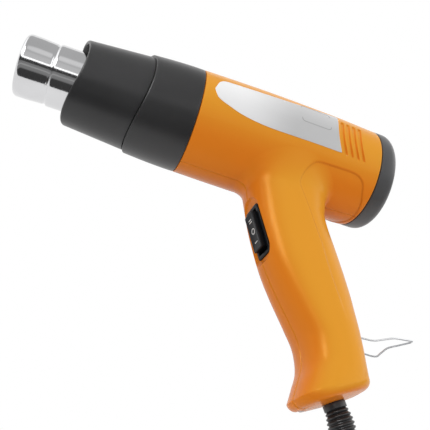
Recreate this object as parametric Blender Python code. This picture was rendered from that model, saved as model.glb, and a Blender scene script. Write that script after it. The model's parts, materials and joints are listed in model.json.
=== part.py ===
"""Hot air tool: a pistol shaped heat gun with a two stage rocker switch, lying on its right side.

The tool is drawn in its own frame, in metres: X runs along the barrel from the nozzle's mouth to the rear,
Y points to the tool's right and Z to the top of the barrel. The empty named tool then lays it on a bench,
so that the bench is Z = 0 and the tool's left side looks up.
"""
import math

import bpy
import bmesh
import numpy as np
from mathutils import Matrix, Vector

# Clearances
GAP = 0.0003
PARTING = 0.00015
SCREW_HOLE_CLEARANCE = 0.0003
FAN_CLEARANCE = 0.0008

# Nozzle, the steel outlet tube
NOZZLE_MOUTH_RADIUS = 0.01725
NOZZLE_TUBE_RADIUS = 0.0179
NOZZLE_WALL = 0.0008
NOZZLE_LIP_RADIUS = 0.003
NOZZLE_BEAD_START = 0.0160
NOZZLE_BEAD_LENGTH = 0.0036
NOZZLE_BEAD_DEPTH = 0.0006
NOZZLE_FLANGE_WIDTH = 0.0057
NOZZLE_FLANGE_THICKNESS = 0.0010

# Front guard, the black plastic cone round the nozzle
GUARD_FRONT = 0.0315
GUARD_FRONT_RADIUS = 0.0257
GUARD_FRONT_WAVE = 0.0021
GUARD_REAR_RADIUS = 0.0298
GUARD_WALL = 0.0024
GUARD_EDGE_RADIUS = 0.0014

# Rear collar, the black ring between guard and housing
COLLAR_FRONT = 0.0700
COLLAR_FRONT_WAVE = 0.0027
COLLAR_FRONT_RADIUS = 0.0310
COLLAR_STEP_WIDTH = 0.0006
COLLAR_SPIGOT_LENGTH = 0.0080
COLLAR_SPIGOT_WALL = 0.0019
COLLAR_BULKHEAD_THICKNESS = 0.0035
COLLAR_WALL = 0.0024
FLANGE_SCREW_COUNT = 3
FLANGE_SCREW_RADIUS = 0.0012
FLANGE_SCREW_HEAD_RADIUS = 0.0021
FLANGE_SCREW_HEAD_HEIGHT = 0.0014

# Barrel of the housing
BARREL_FRONT = 0.1020
BARREL_REAR = 0.2200
BARREL_FRONT_RADIUS = 0.0325
BARREL_REAR_RADIUS = 0.0313
HOUSING_WALL = 0.0024
HOUSING_SPIGOT_DEPTH = 0.0068
BARREL_SEGMENTS = 30

# Handle: front and back of its outline in X and Z, and its half width, from the barrel down
HANDLE_SECTIONS = (
    ((0.1370, -0.0200), (0.2120, -0.0140), 0.0220),
    ((0.1395, -0.0300), (0.2070, -0.0240), 0.0215),
    ((0.1435, -0.0380), (0.1995, -0.0335), 0.0205),
    ((0.1468, -0.0470), (0.1960, -0.0435), 0.0195),
    ((0.1500, -0.0580), (0.1980, -0.0560), 0.0188),
    ((0.1538, -0.0700), (0.2023, -0.0685), 0.0185),
    ((0.1588, -0.0865), (0.2083, -0.0850), 0.0185),
    ((0.1660, -0.1000), (0.2133, -0.1010), 0.0185),
    ((0.1745, -0.1150), (0.2168, -0.1170), 0.0185),
    ((0.1808, -0.1265), (0.2194, -0.1280), 0.0186),
    ((0.1842, -0.1390), (0.2210, -0.1345), 0.0188),
    ((0.1830, -0.1500), (0.2223, -0.1405), 0.0190),
    ((0.1803, -0.1605), (0.2230, -0.1440), 0.0188),
    ((0.1830, -0.1640), (0.2195, -0.1470), 0.0163),
)
HANDLE_SQUARENESS = 2.6
HANDLE_SEGMENTS = 22
HANDLE_END_WALL = 0.0030
HANDLE_END_RAKE = math.radians(25.0)

# Screws that hold the housing halves together: X and Z of each
HOUSING_SCREWS = (
    (0.1840, -0.0470),
    (0.1930, -0.0800),
    (0.1870, -0.1120),
    (0.2120, -0.1340),
    (0.1880, -0.1575),
)
HOUSING_SCREW_RADIUS = 0.0014
HOUSING_SCREW_HEAD_RADIUS = 0.0029
HOUSING_SCREW_HEAD_HEIGHT = 0.0020
HOUSING_SCREW_LENGTH = 0.0140
HOUSING_SCREW_SEAT = 0.0050
BOSS_RADIUS = 0.0040

# Side vents behind the label
VENT_COUNT = 4
VENT_FIRST = 0.1935
VENT_PITCH = 0.0042
VENT_WIDTH = 0.0016
VENT_HEIGHT = 0.0250
VENT_CENTRE_Z = -0.0005
VENT_TILT = math.radians(6.4)

# Label plate on the left side
LABEL_TIP = 0.1080
LABEL_REAR = 0.1911
LABEL_NOSE_LENGTH = 0.0400
LABEL_MID_ANGLE = math.radians(6.0)
LABEL_HALF_ANGLE = math.radians(29.5)
LABEL_THICKNESS = 0.0006
LABEL_PROUD = 0.0002

# Rear cap with the air intake
CAP_LENGTH = 0.0120
CAP_WALL = 0.0024
CAP_EDGE_RADIUS = 0.0059
CAP_SPIGOT_LENGTH = 0.0070
CAP_SPIGOT_WALL = 0.0016
CAP_SLOT_COUNT = 6
CAP_SLOT_WIDTH = 0.0030
CAP_SLOT_PITCH = 0.0060
CAP_SLOT_REACH = 0.0210

# Heater
SLEEVE_WALL = 0.0006
SLEEVE_FRONT = 0.0240
SLEEVE_LENGTH = 0.0730
DISC_THICKNESS = 0.0010
DISC_HOLE_RADIUS = 0.0040
DISC_HOLE_CIRCLE = 0.0090
FORMER_HALF_WIDTH = 0.0109
FORMER_THICKNESS = 0.0008
COIL_TUBE_RADIUS = 0.0012
COIL_TURNS = 5
COIL_PITCH = 0.0120
COIL_POINTS_PER_TURN = 12
FUSE_RADIUS = 0.0020
FUSE_LENGTH = 0.0100
FUSE_LEAD_RADIUS = 0.0005
FUSE_LEAD_LENGTH = 0.0070

# Air duct and motor mount
DUCT_WALL = 0.0015
DUCT_NECK_END = 0.1000
DUCT_CONE_END = 0.1240
DUCT_RING_WALL = 0.0020
RIB_THICKNESS = 0.0020
RIB_HEIGHT = 0.0024
REAR_RIB_START = 0.1475
MOUNT_RING_LENGTH = 0.0100
MOUNT_RING_WALL = 0.0016
MOUNT_CUP_WALL = 0.0016
MOUNT_CUP_LENGTH = 0.0153
MOUNT_FACE_THICKNESS = 0.0022
MOUNT_FACE_HOLE = 0.0045
MOUNT_SPOKE_COUNT = 4
MOUNT_SPOKE_THICKNESS = 0.0024

# Motor and fan
MOTOR_RADIUS = 0.0139
MOTOR_LENGTH = 0.0300
MOTOR_FRONT = 0.1600
MOTOR_CAN_WALL = 0.0010
END_CAP_INSET = 0.0025
END_CAP_FLANGE = 0.0020
MAGNET_THICKNESS = 0.0014
MAGNET_LENGTH = 0.0200
MAGNET_HALF_ANGLE = math.radians(62.0)
CORE_RADIUS = 0.0107
CORE_LENGTH = 0.0160
CORE_POLES = 5
CORE_SLOT_DEPTH = 0.0030
COMMUTATOR_RADIUS = 0.0036
COMMUTATOR_LENGTH = 0.0028
BRUSH_SIZE = (0.0022, 0.0034, 0.0020)
SHAFT_RADIUS = 0.0010
BUSH_WALL = 0.0010
BUSH_LENGTH = 0.0040
FAN_FRONT = 0.1310
FAN_LENGTH = 0.0140
FAN_HUB_RADIUS = 0.0060
FAN_BLADES = 7
FAN_BLADE_THICKNESS = 0.0012
BOARD_RADIUS = 0.0122
BOARD_THICKNESS = 0.0016
DIODE_RADIUS = 0.0013
DIODE_LENGTH = 0.0052
DIODE_PITCH = 0.0044
DIODE_COUNT = 4

# Rocker switch on the front of the handle
SWITCH_CENTRE_Z = -0.0665
SWITCH_RAKE = math.radians(20.0)
SWITCH_SEAT_DEPTH = 0.0015
SWITCH_PAD = (0.0042, 0.0205, 0.0352)
SWITCH_FLANGE = (0.0310, 0.0160, 0.0018)
SWITCH_WINDOW = (0.0260, 0.0108)
SWITCH_CAN_WALL = 0.0009
SWITCH_CAN_DEPTH = 0.0170
ROCKER_LENGTH = 0.0238
ROCKER_AXIS_DEPTH = 0.0035
ROCKER_END_HEIGHT = 0.0022
ROCKER_DIP = 0.0009
ROCKER_PIN_RADIUS = 0.0012
TERMINAL_SIZE = (0.0008, 0.0048, 0.0080)
TERMINAL_PITCH = 0.0085

# Wire stand at the back of the handle
WIRE_RADIUS = 0.0007
WIRE_PIVOT = (0.2120, -0.1188)
WIRE_LEG_Y = 0.0058
WIRE_PIN_LENGTH = 0.0030
WIRE_OUTLINE = (
    (0.0000, 0.0000, 0.0058),
    (0.0080, -0.0003, 0.0058),
    (0.0155, -0.0001, 0.0057),
    (0.0184, 0.0014, 0.0052),
    (0.0214, 0.0034, 0.0046),
    (0.0275, 0.0061, 0.0038),
    (0.0345, 0.0083, 0.0027),
    (0.0392, 0.0097, 0.0019),
    (0.0410, 0.0103, 0.0012),
    (0.0416, 0.0105, 0.0000),
)
STAND_BLOCK = (0.0110, 0.0250, 0.0130)
STAND_NOTCH = (0.0025, 0.0148, 0.0090)

# Strain relief and the cord's inner end
RELIEF_CENTRE = (0.2010, -0.1556)
RELIEF_NECK_RADIUS = 0.0048
RELIEF_COLLAR_RADIUS = 0.0060
RELIEF_COLLAR_LENGTH = 0.0034
RELIEF_INNER_FLANGE = 0.0020
RELIEF_RIB_RADIUS = 0.0064
RELIEF_TIP_RADIUS = 0.0050
RELIEF_WAIST_DEPTH = 0.0010
RELIEF_RIBS = 9
RELIEF_TAIL_LENGTH = 0.0340
RELIEF_DROOP = math.radians(14.0)
CORD_RADIUS = 0.0035
CORD_INNER_LENGTH = 0.0180
CLAMP_WIDTH = 0.0060
CLAMP_THICKNESS = 0.0030
CLAMP_FOOT = 0.0024
CLAMP_SCREW_REACH = 0.0066
CLAMP_SCREW_RADIUS = 0.0011
CLAMP_SCREW_HEAD_RADIUS = 0.0020
CLAMP_SCREW_HEAD_HEIGHT = 0.0014
CLAMP_SCREW_BITE = 0.0050
CLAMP_POST_RADIUS = 0.0024
CLAMP_OFFSET = 0.0105
LEAD_RADIUS = 0.0010
LEAD_SPACING = 0.0016
LIVE_LEAD_ROUTE = (
    (0.1875, -0.1270),
    (0.1800, -0.1120),
    (0.1795, -0.0950),
    (0.1850, -0.0760),
)
NEUTRAL_LEAD_ROUTE = (
    (0.1935, -0.1260),
    (0.1990, -0.1080),
    (0.2005, -0.0850),
    (0.1955, -0.0620),
    (0.1915, -0.0460),
    (0.1945, -0.0330),
    (0.1990, -0.0180),
)
NEUTRAL_JOINT_Z = -0.0090

# Free cord, in the bench's own frame: the route from the strain relief to the coil
CORD_ROUTE = (
    (0.0995, -0.1320, 0.0060),
    (0.1055, -0.1520, 0.0043),
    (0.1100, -0.1770, 0.0039),
)
CORD_POINTS = 12

# Coil of the cord's unseen length, its tie and the plug
COIL_CENTRE = (0.0600, -0.2200)
COIL_MEAN_RADIUS = 0.0400
CORD_COIL_LAYERS = 2
LOOPS_PER_LAYER = 3
LOOP_PITCH = 0.0077
LOOP_POINTS = 24
TIE_THICKNESS = 0.0007
TIE_WIDTH = 0.0050
TIE_CORNER = 0.0030
PLUG_TAIL = 0.0250
PLUG_BODY = (0.0360, 0.0260)
PLUG_NECK_RADIUS = 0.0056
PLUG_FACE_LENGTH = 0.0220
PLUG_LENGTH = 0.0460
PLUG_CORD_SOCKET = 0.0060
PIN_RADIUS = 0.0024
PIN_LENGTH = 0.0190
PIN_SPACING = 0.0186
PIN_ROOT = 0.0060


def clear_scene():
    """Remove every object of the open file."""
    for item in list(bpy.data.objects):
        bpy.data.objects.remove(item, do_unlink=True)


def material(name, colour, roughness, metallic=0.0):
    """A plain Principled material in a linear colour."""
    found = bpy.data.materials.get(name)
    if found:
        return found
    made = bpy.data.materials.new(name)
    made.use_nodes = True
    shader = made.node_tree.nodes["Principled BSDF"]
    shader.inputs["Base Color"].default_value = (*colour, 1.0)
    shader.inputs["Roughness"].default_value = roughness
    shader.inputs["Metallic"].default_value = metallic
    return made


ORANGE = ("orange plastic", (0.70, 0.27, 0.035), 0.35)
BLACK = ("black plastic", (0.035, 0.035, 0.037), 0.50)
RUBBER = ("black rubber", (0.02, 0.02, 0.02), 0.60)
STEEL = ("bright steel", (0.62, 0.63, 0.64), 0.18, 1.0)
ZINC = ("zinc plated steel", (0.55, 0.55, 0.56), 0.35, 1.0)
SILVER = ("silver foil", (0.60, 0.60, 0.61), 0.35, 0.6)
MICA = ("mica sheet", (0.45, 0.40, 0.30), 0.55)
NICHROME = ("heating wire", (0.30, 0.28, 0.27), 0.45, 1.0)
COPPER = ("copper", (0.75, 0.35, 0.20), 0.30, 1.0)
CARBON = ("carbon", (0.03, 0.03, 0.03), 0.70)
BRONZE = ("sintered bronze", (0.45, 0.30, 0.15), 0.45, 1.0)
NYLON = ("natural nylon", (0.60, 0.58, 0.50), 0.50)
BOARD = ("circuit board", (0.30, 0.20, 0.06), 0.55)
BRASS = ("brass", (0.65, 0.45, 0.15), 0.30, 1.0)
BROWN_LEAD = ("brown lead", (0.20, 0.08, 0.03), 0.50)
BLUE_LEAD = ("blue lead", (0.03, 0.10, 0.35), 0.50)
FERRITE = ("ferrite", (0.06, 0.06, 0.06), 0.60)


def blend(a, b, t):
    """The value a share t of the way from a to b."""
    return a + (b - a) * t


def finish_mesh(name, verts, faces):
    """A mesh with outward normals, smooth but for its sharp edges."""
    mesh = bpy.data.meshes.new(name)
    mesh.from_pydata([tuple(v) for v in verts], [], [tuple(f) for f in faces])
    work = bmesh.new()
    work.from_mesh(mesh)
    bmesh.ops.recalc_face_normals(work, faces=work.faces)
    work.to_mesh(mesh)
    work.free()
    mesh.shade_smooth()
    mesh.set_sharp_from_angle(angle=math.radians(35.0))
    return mesh


def add_object(name, shape, finish, parent, pivot=(0.0, 0.0, 0.0)):
    """A named piece from (verts, faces), whose origin lies at pivot in its parent's frame."""
    verts, faces = shape
    local = np.asarray(verts, float) - np.asarray(pivot, float)
    piece = bpy.data.objects.new(name, finish_mesh(name, local, faces))
    bpy.context.scene.collection.objects.link(piece)
    piece.data.materials.append(material(*finish))
    piece.parent = parent
    return piece


def add_cutter(name, shape, parent):
    """A hidden helper solid for the Boolean modifiers."""
    verts, faces = shape
    piece = bpy.data.objects.new(name, finish_mesh(name, verts, faces))
    bpy.context.scene.collection.objects.link(piece)
    piece.parent = parent
    piece.hide_render = True
    piece.display_type = "WIRE"
    return piece


def combine(piece, other, operation):
    """Add one exact Boolean to a piece."""
    step = piece.modifiers.new(operation.lower() + " " + other.name, "BOOLEAN")
    step.operation = operation
    step.solver = "EXACT"
    step.object = other


def merge_shapes(shapes):
    """One (verts, faces) holding several separate closed shapes."""
    verts = []
    faces = []
    for part_verts, part_faces in shapes:
        start = len(verts)
        verts.extend([tuple(v) for v in part_verts])
        faces.extend([tuple(start + i for i in face) for face in part_faces])
    return verts, faces


def turned(profile, segments=32, wave=None):
    """Turn a closed profile of (x, radius) about X.

    A radius of zero makes a pole. wave gives each profile point an extra x of wave times the cosine of twice
    the angle from the Y axis, which sets the sides back and leaves top and bottom forward.
    """
    waves = wave or [0.0] * len(profile)
    verts = []
    rings = []
    for (x, radius), sway in zip(profile, waves):
        if radius == 0.0:
            rings.append([len(verts)] * segments)
            verts.append((x, 0.0, 0.0))
            continue
        rings.append(list(range(len(verts), len(verts) + segments)))
        for i in range(segments):
            angle = 2.0 * math.pi * i / segments
            shift = sway * math.cos(2.0 * angle)
            verts.append((x + shift, radius * math.cos(angle), radius * math.sin(angle)))
    faces = []
    open_ends = profile[0][1] == 0.0 and profile[-1][1] == 0.0
    count = len(rings) - 1 if open_ends else len(rings)
    for k in range(count):
        first = rings[k]
        second = rings[(k + 1) % len(rings)]
        for i in range(segments):
            j = (i + 1) % segments
            corner = [first[i], first[j], second[j], second[i]]
            face = [c for n, c in enumerate(corner) if c not in corner[:n]]
            if len(face) > 2:
                faces.append(face)
    return verts, faces


def rod(start, end, radius, segments=16):
    """A straight round rod along X from start to end."""
    return turned([(start, 0.0), (start, radius), (end, radius), (end, 0.0)], segments)


def ring(start, end, inner, outer, segments=32):
    """A plain ring about X."""
    return turned([(start, inner), (start, outer), (end, outer), (end, inner)], segments)


def aim(shape, origin, direction, upward=(0.0, 1.0, 0.0)):
    """Carry a shape drawn along X to an origin, with its X along direction and its Y near upward."""
    along = Vector(direction).normalized()
    side = (Vector(upward) - along * along.dot(Vector(upward))).normalized()
    third = along.cross(side)
    basis = Matrix((along, side, third)).transposed()
    verts = [tuple(Vector(origin) + basis @ Vector(v)) for v in shape[0]]
    return verts, shape[1]


def block(size, centre=(0.0, 0.0, 0.0)):
    """A box with its faces along the axes."""
    half = np.asarray(size, float) / 2.0
    corners = [(sx, sy, sz) for sx in (-1, 1) for sy in (-1, 1) for sz in (-1, 1)]
    verts = [tuple(np.asarray(centre) + half * np.asarray(corner)) for corner in corners]
    faces = [(0, 1, 3, 2), (4, 6, 7, 5), (0, 4, 5, 1), (2, 3, 7, 6), (0, 2, 6, 4), (1, 5, 7, 3)]
    return verts, faces


def loft(rings):
    """A closed solid through rings of equal count, with flat ends."""
    count = len(rings[0])
    verts = [tuple(point) for section in rings for point in section]
    faces = [tuple(range(count)), tuple((len(rings) - 1) * count + i for i in reversed(range(count)))]
    for k in range(len(rings) - 1):
        for i in range(count):
            j = (i + 1) % count
            faces.append((k * count + i, k * count + j, (k + 1) * count + j, (k + 1) * count + i))
    return verts, faces


def extruded(outline, start, end):
    """A prism along X whose section is an outline of (y, z)."""
    return loft([[(x, y, z) for y, z in outline] for x in (start, end)])


def tube_curve(name, points, radius, finish, parent, resolution=2):
    """A round tube along a line of points, with filled ends."""
    curve = bpy.data.curves.new(name, "CURVE")
    curve.dimensions = "3D"
    curve.bevel_depth = radius
    curve.bevel_resolution = resolution
    curve.use_fill_caps = True
    line = curve.splines.new("POLY")
    line.points.add(len(points) - 1)
    for target, point in zip(line.points, points):
        target.co = (*point, 1.0)
    curve.materials.append(material(*finish))
    piece = bpy.data.objects.new(name, curve)
    bpy.context.scene.collection.objects.link(piece)
    piece.parent = parent
    return piece


def smooth_path(knots, count):
    """Points spread evenly by length along a Catmull-Rom curve through the knots."""
    pts = np.asarray(knots, float)
    padded = np.vstack([2 * pts[0] - pts[1], pts, 2 * pts[-1] - pts[-2]])
    dense = []
    for i in range(len(pts) - 1):
        a, b, c, d = padded[i:i + 4]
        t = np.linspace(0.0, 1.0, 24, endpoint=False)[:, None]
        dense.append(0.5 * (2 * b + (c - a) * t + (2 * a - 5 * b + 4 * c - d) * t ** 2
                            + (3 * b - a - 3 * c + d) * t ** 3))
    dense = np.vstack(dense + [pts[-1:]])
    steps = np.concatenate([[0.0], np.cumsum(np.linalg.norm(np.diff(dense, axis=0), axis=1))])
    wanted = np.linspace(0.0, steps[-1], count)
    return np.stack([np.interp(wanted, steps, dense[:, k]) for k in range(3)], axis=1)


def barrel_radius(x):
    """Outer radius of the housing's barrel at x."""
    share = (x - BARREL_FRONT) / (BARREL_REAR - BARREL_FRONT)
    return blend(BARREL_FRONT_RADIUS, BARREL_REAR_RADIUS, share)


def bore_radius(x):
    """Inner radius of the housing's barrel at x."""
    return barrel_radius(x) - HOUSING_WALL


def guard_radius(x):
    """Outer radius of the front guard's cone at x."""
    share = (x - GUARD_FRONT) / (COLLAR_FRONT - GUARD_FRONT)
    return blend(GUARD_FRONT_RADIUS, GUARD_REAR_RADIUS, share)


def screw_shape(head_radius, head_height, radius, length, segments=8):
    """A pan head screw along X: its head ends at x = 0 and its shank runs to x = length."""
    return turned([
        (-head_height, 0.0), (-head_height, head_radius * 0.75), (-head_height * 0.55, head_radius),
        (0.0, head_radius), (0.0, radius), (length - radius, radius), (length, 0.0)], segments)


# Places worked out from the sizes above
SPIGOT_FRONT = COLLAR_FRONT - COLLAR_SPIGOT_LENGTH
SPIGOT_RADIUS = guard_radius(SPIGOT_FRONT) - GUARD_WALL - GAP
SPIGOT_BORE = SPIGOT_RADIUS - COLLAR_SPIGOT_WALL
FLANGE_REAR = COLLAR_FRONT - COLLAR_STEP_WIDTH - GAP
FLANGE_FRONT = FLANGE_REAR - NOZZLE_FLANGE_THICKNESS
FLANGE_RADIUS = NOZZLE_TUBE_RADIUS + NOZZLE_FLANGE_WIDTH
BULKHEAD_FRONT = FLANGE_REAR + GAP
BULKHEAD_REAR = BULKHEAD_FRONT + COLLAR_BULKHEAD_THICKNESS
NOZZLE_BORE = NOZZLE_TUBE_RADIUS - NOZZLE_WALL
SLEEVE_RADIUS = NOZZLE_BORE - GAP
SLEEVE_REAR = SLEEVE_FRONT + SLEEVE_LENGTH
DUCT_NECK_RADIUS = SLEEVE_RADIUS + GAP + DUCT_WALL
BULKHEAD_BORE = DUCT_NECK_RADIUS + GAP
COLLAR_REAR = BARREL_FRONT - GAP
FLANGE_SCREW_CIRCLE = (NOZZLE_TUBE_RADIUS + FLANGE_RADIUS) / 2.0 + 0.0008
CAP_FRONT = BARREL_REAR + GAP
CAP_REAR = BARREL_REAR + CAP_LENGTH
DUCT_REAR = REAR_RIB_START - GAP
MOUNT_FRONT = REAR_RIB_START + RIB_THICKNESS + GAP
MOUNT_REAR = MOUNT_FRONT + MOUNT_RING_LENGTH
MOTOR_REAR = MOTOR_FRONT + MOTOR_LENGTH
END_CAP_FRONT = MOTOR_REAR - END_CAP_INSET
END_CAP_REAR = MOTOR_REAR + GAP + END_CAP_FLANGE
BUSH_BORE = SHAFT_RADIUS + GAP
BUSH_RADIUS = BUSH_BORE + BUSH_WALL
HANDLE_AXIS = Vector((math.sin(HANDLE_END_RAKE), 0.0, -math.cos(HANDLE_END_RAKE)))


def handle_ring(section, inset):
    """One superellipse of the handle, drawn in by inset, as points in a row round it."""
    front, back, half_width = section
    front = Vector((front[0], 0.0, front[1]))
    back = Vector((back[0], 0.0, back[1]))
    centre = (front + back) / 2.0
    reach = (back - front).length / 2.0 - inset
    along = (back - front).normalized()
    power = 2.0 / HANDLE_SQUARENESS
    points = []
    for i in range(HANDLE_SEGMENTS):
        angle = 2.0 * math.pi * (i + 0.5) / HANDLE_SEGMENTS
        c = math.cos(angle)
        s = math.sin(angle)
        u = math.copysign(abs(c) ** power, c) * reach
        v = math.copysign(abs(s) ** power, s) * (half_width - inset)
        points.append(tuple(centre + along * u + Vector((0.0, v, 0.0))))
    return points


def handle_outer():
    """The handle's outside as one closed loft."""
    return loft([handle_ring(section, 0.0) for section in HANDLE_SECTIONS])


def handle_cavity():
    """The hollow of the handle, which ends above the end wall."""
    rings = [handle_ring(section, HOUSING_WALL) for section in HANDLE_SECTIONS[:-2]]
    lift = -HANDLE_AXIS * HANDLE_END_WALL
    last = [tuple(Vector(point) + lift) for point in handle_ring(HANDLE_SECTIONS[-1], HOUSING_WALL)]
    return loft(rings + [last])


def front_at(z):
    """X of the handle's front outline at height z."""
    heights = [section[0][1] for section in reversed(HANDLE_SECTIONS)]
    places = [section[0][0] for section in reversed(HANDLE_SECTIONS)]
    return float(np.interp(z, heights, places))


SWITCH_OUT = Vector((-math.cos(SWITCH_RAKE), 0.0, -math.sin(SWITCH_RAKE)))
SWITCH_DOWN = Vector((math.sin(SWITCH_RAKE), 0.0, -math.cos(SWITCH_RAKE)))
SWITCH_NOSE = Vector((front_at(SWITCH_CENTRE_Z), 0.0, SWITCH_CENTRE_Z))
SWITCH_SEAT = SWITCH_NOSE - SWITCH_OUT * SWITCH_SEAT_DEPTH
ROCKER_AXIS = SWITCH_SEAT + SWITCH_OUT * (SWITCH_FLANGE[2] - ROCKER_AXIS_DEPTH)


def in_switch(shape):
    """Carry a shape from the switch's frame (x outward, y across, z down) to its seat."""
    verts = []
    for x, y, z in shape[0]:
        verts.append(tuple(SWITCH_SEAT + SWITCH_OUT * x + Vector((0.0, y, 0.0)) + SWITCH_DOWN * z))
    return verts, shape[1]


def make_nozzle(tool):
    """Steel outlet tube with a rolled lip, a swaged bead and a rear flange."""
    lip = NOZZLE_LIP_RADIUS
    inner_lip = lip - NOZZLE_WALL
    arc = [math.radians(a) for a in (90.0, 60.0, 30.0, 0.0)]
    mouth = NOZZLE_MOUTH_RADIUS
    bead = NOZZLE_BEAD_START
    end = bead + NOZZLE_BEAD_LENGTH
    low = mouth - NOZZLE_BEAD_DEPTH
    outer = [(lip - lip * math.sin(a), mouth - lip + lip * math.cos(a)) for a in arc]
    outer += [(bead, mouth), (blend(bead, end, 0.3), low), (blend(bead, end, 0.55), low)]
    outer += [(end, NOZZLE_TUBE_RADIUS), (FLANGE_FRONT, NOZZLE_TUBE_RADIUS)]
    outer += [(FLANGE_FRONT, FLANGE_RADIUS), (FLANGE_REAR, FLANGE_RADIUS), (FLANGE_REAR, NOZZLE_BORE)]
    inner = [(end + NOZZLE_WALL * 0.4, NOZZLE_BORE)]
    inner += [(blend(bead, end, 0.6), low - NOZZLE_WALL), (blend(bead, end, 0.25), low - NOZZLE_WALL)]
    inner += [(bead - NOZZLE_WALL * 0.3, mouth - NOZZLE_WALL)]
    inner += [(lip - inner_lip * math.sin(a), mouth - lip + inner_lip * math.cos(a)) for a in reversed(arc)]
    nozzle = add_object("nozzle", turned(outer + inner, 24), STEEL, tool)
    cutter = add_cutter("nozzle_screw_holes", flange_hole_shape(), tool)
    combine(nozzle, cutter, "DIFFERENCE")


def flange_screw_places():
    """Y and Z of each flange screw."""
    places = []
    for i in range(FLANGE_SCREW_COUNT):
        angle = 2.0 * math.pi * i / FLANGE_SCREW_COUNT + math.pi / 2.0
        places.append((FLANGE_SCREW_CIRCLE * math.cos(angle), FLANGE_SCREW_CIRCLE * math.sin(angle)))
    return places


def flange_hole_shape():
    """Holes for the flange screws through the nozzle's flange and the collar's bulkhead."""
    hole = rod(0.0, BULKHEAD_REAR - FLANGE_FRONT + 0.004, FLANGE_SCREW_RADIUS + SCREW_HOLE_CLEARANCE, 12)
    start = FLANGE_FRONT - 0.002
    return merge_shapes([aim(hole, (start, y, z), (1, 0, 0)) for y, z in flange_screw_places()])


def make_guard(tool):
    """Black cone round the nozzle, with a wavy front and rear edge."""
    edge = GUARD_EDGE_RADIUS
    rear = COLLAR_FRONT - COLLAR_STEP_WIDTH
    front = GUARD_FRONT
    wall = GUARD_WALL
    top = guard_radius(front)
    seat = SPIGOT_FRONT + GAP
    profile = [
        (front, top - edge), (front + edge * 0.3, top - edge * 0.3), (front + edge, guard_radius(front + edge)),
        (blend(front, rear, 0.5), guard_radius(blend(front, rear, 0.5))), (rear, guard_radius(rear)),
        (rear, guard_radius(rear) - wall), (seat, guard_radius(seat) - wall),
        (front + edge, guard_radius(front + edge) - wall), (front, top - wall + edge * 0.2)]
    lead = GUARD_FRONT_WAVE
    tail = COLLAR_FRONT_WAVE
    wave = [lead, lead, lead, blend(lead, tail, 0.5), tail, tail, 0.0, lead, lead]
    add_object("front_guard", turned(profile, 28, wave), BLACK, tool)


def make_collar(tool):
    """Black ring that carries guard, nozzle and housing."""
    edge = GUARD_EDGE_RADIUS * 0.5
    front = COLLAR_FRONT
    rear = COLLAR_REAR
    spigot_rear = BARREL_FRONT + HOUSING_SPIGOT_DEPTH
    rear_spigot = bore_radius(spigot_rear) - GAP
    swell = COLLAR_FRONT_RADIUS
    profile = [
        (front, SPIGOT_RADIUS), (front, swell - edge), (front + edge, swell),
        (blend(front, rear, 0.4), blend(swell, BARREL_FRONT_RADIUS, 0.55)), (rear, BARREL_FRONT_RADIUS),
        (rear, rear_spigot), (spigot_rear, rear_spigot), (spigot_rear, rear_spigot - COLLAR_WALL),
        (BULKHEAD_REAR, rear_spigot - COLLAR_WALL), (BULKHEAD_REAR, BULKHEAD_BORE),
        (BULKHEAD_FRONT, BULKHEAD_BORE), (BULKHEAD_FRONT, SPIGOT_BORE), (SPIGOT_FRONT, SPIGOT_BORE),
        (SPIGOT_FRONT, SPIGOT_RADIUS)]
    tail = COLLAR_FRONT_WAVE
    wave = [tail, tail, tail, tail * 0.5] + [0.0] * 10
    collar = add_object("rear_collar", turned(profile, 28, wave), BLACK, tool)
    combine(collar, add_cutter("collar_screw_holes", flange_hole_shape(), tool), "DIFFERENCE")
    shape = screw_shape(FLANGE_SCREW_HEAD_RADIUS, FLANGE_SCREW_HEAD_HEIGHT, FLANGE_SCREW_RADIUS,
                        BULKHEAD_REAR - FLANGE_FRONT)
    for i, (y, z) in enumerate(flange_screw_places()):
        placed = aim(shape, (FLANGE_FRONT - GAP, y, z), (1, 0, 0))
        add_object("flange_screw_%d" % (i + 1), placed, ZINC, tool)


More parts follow.
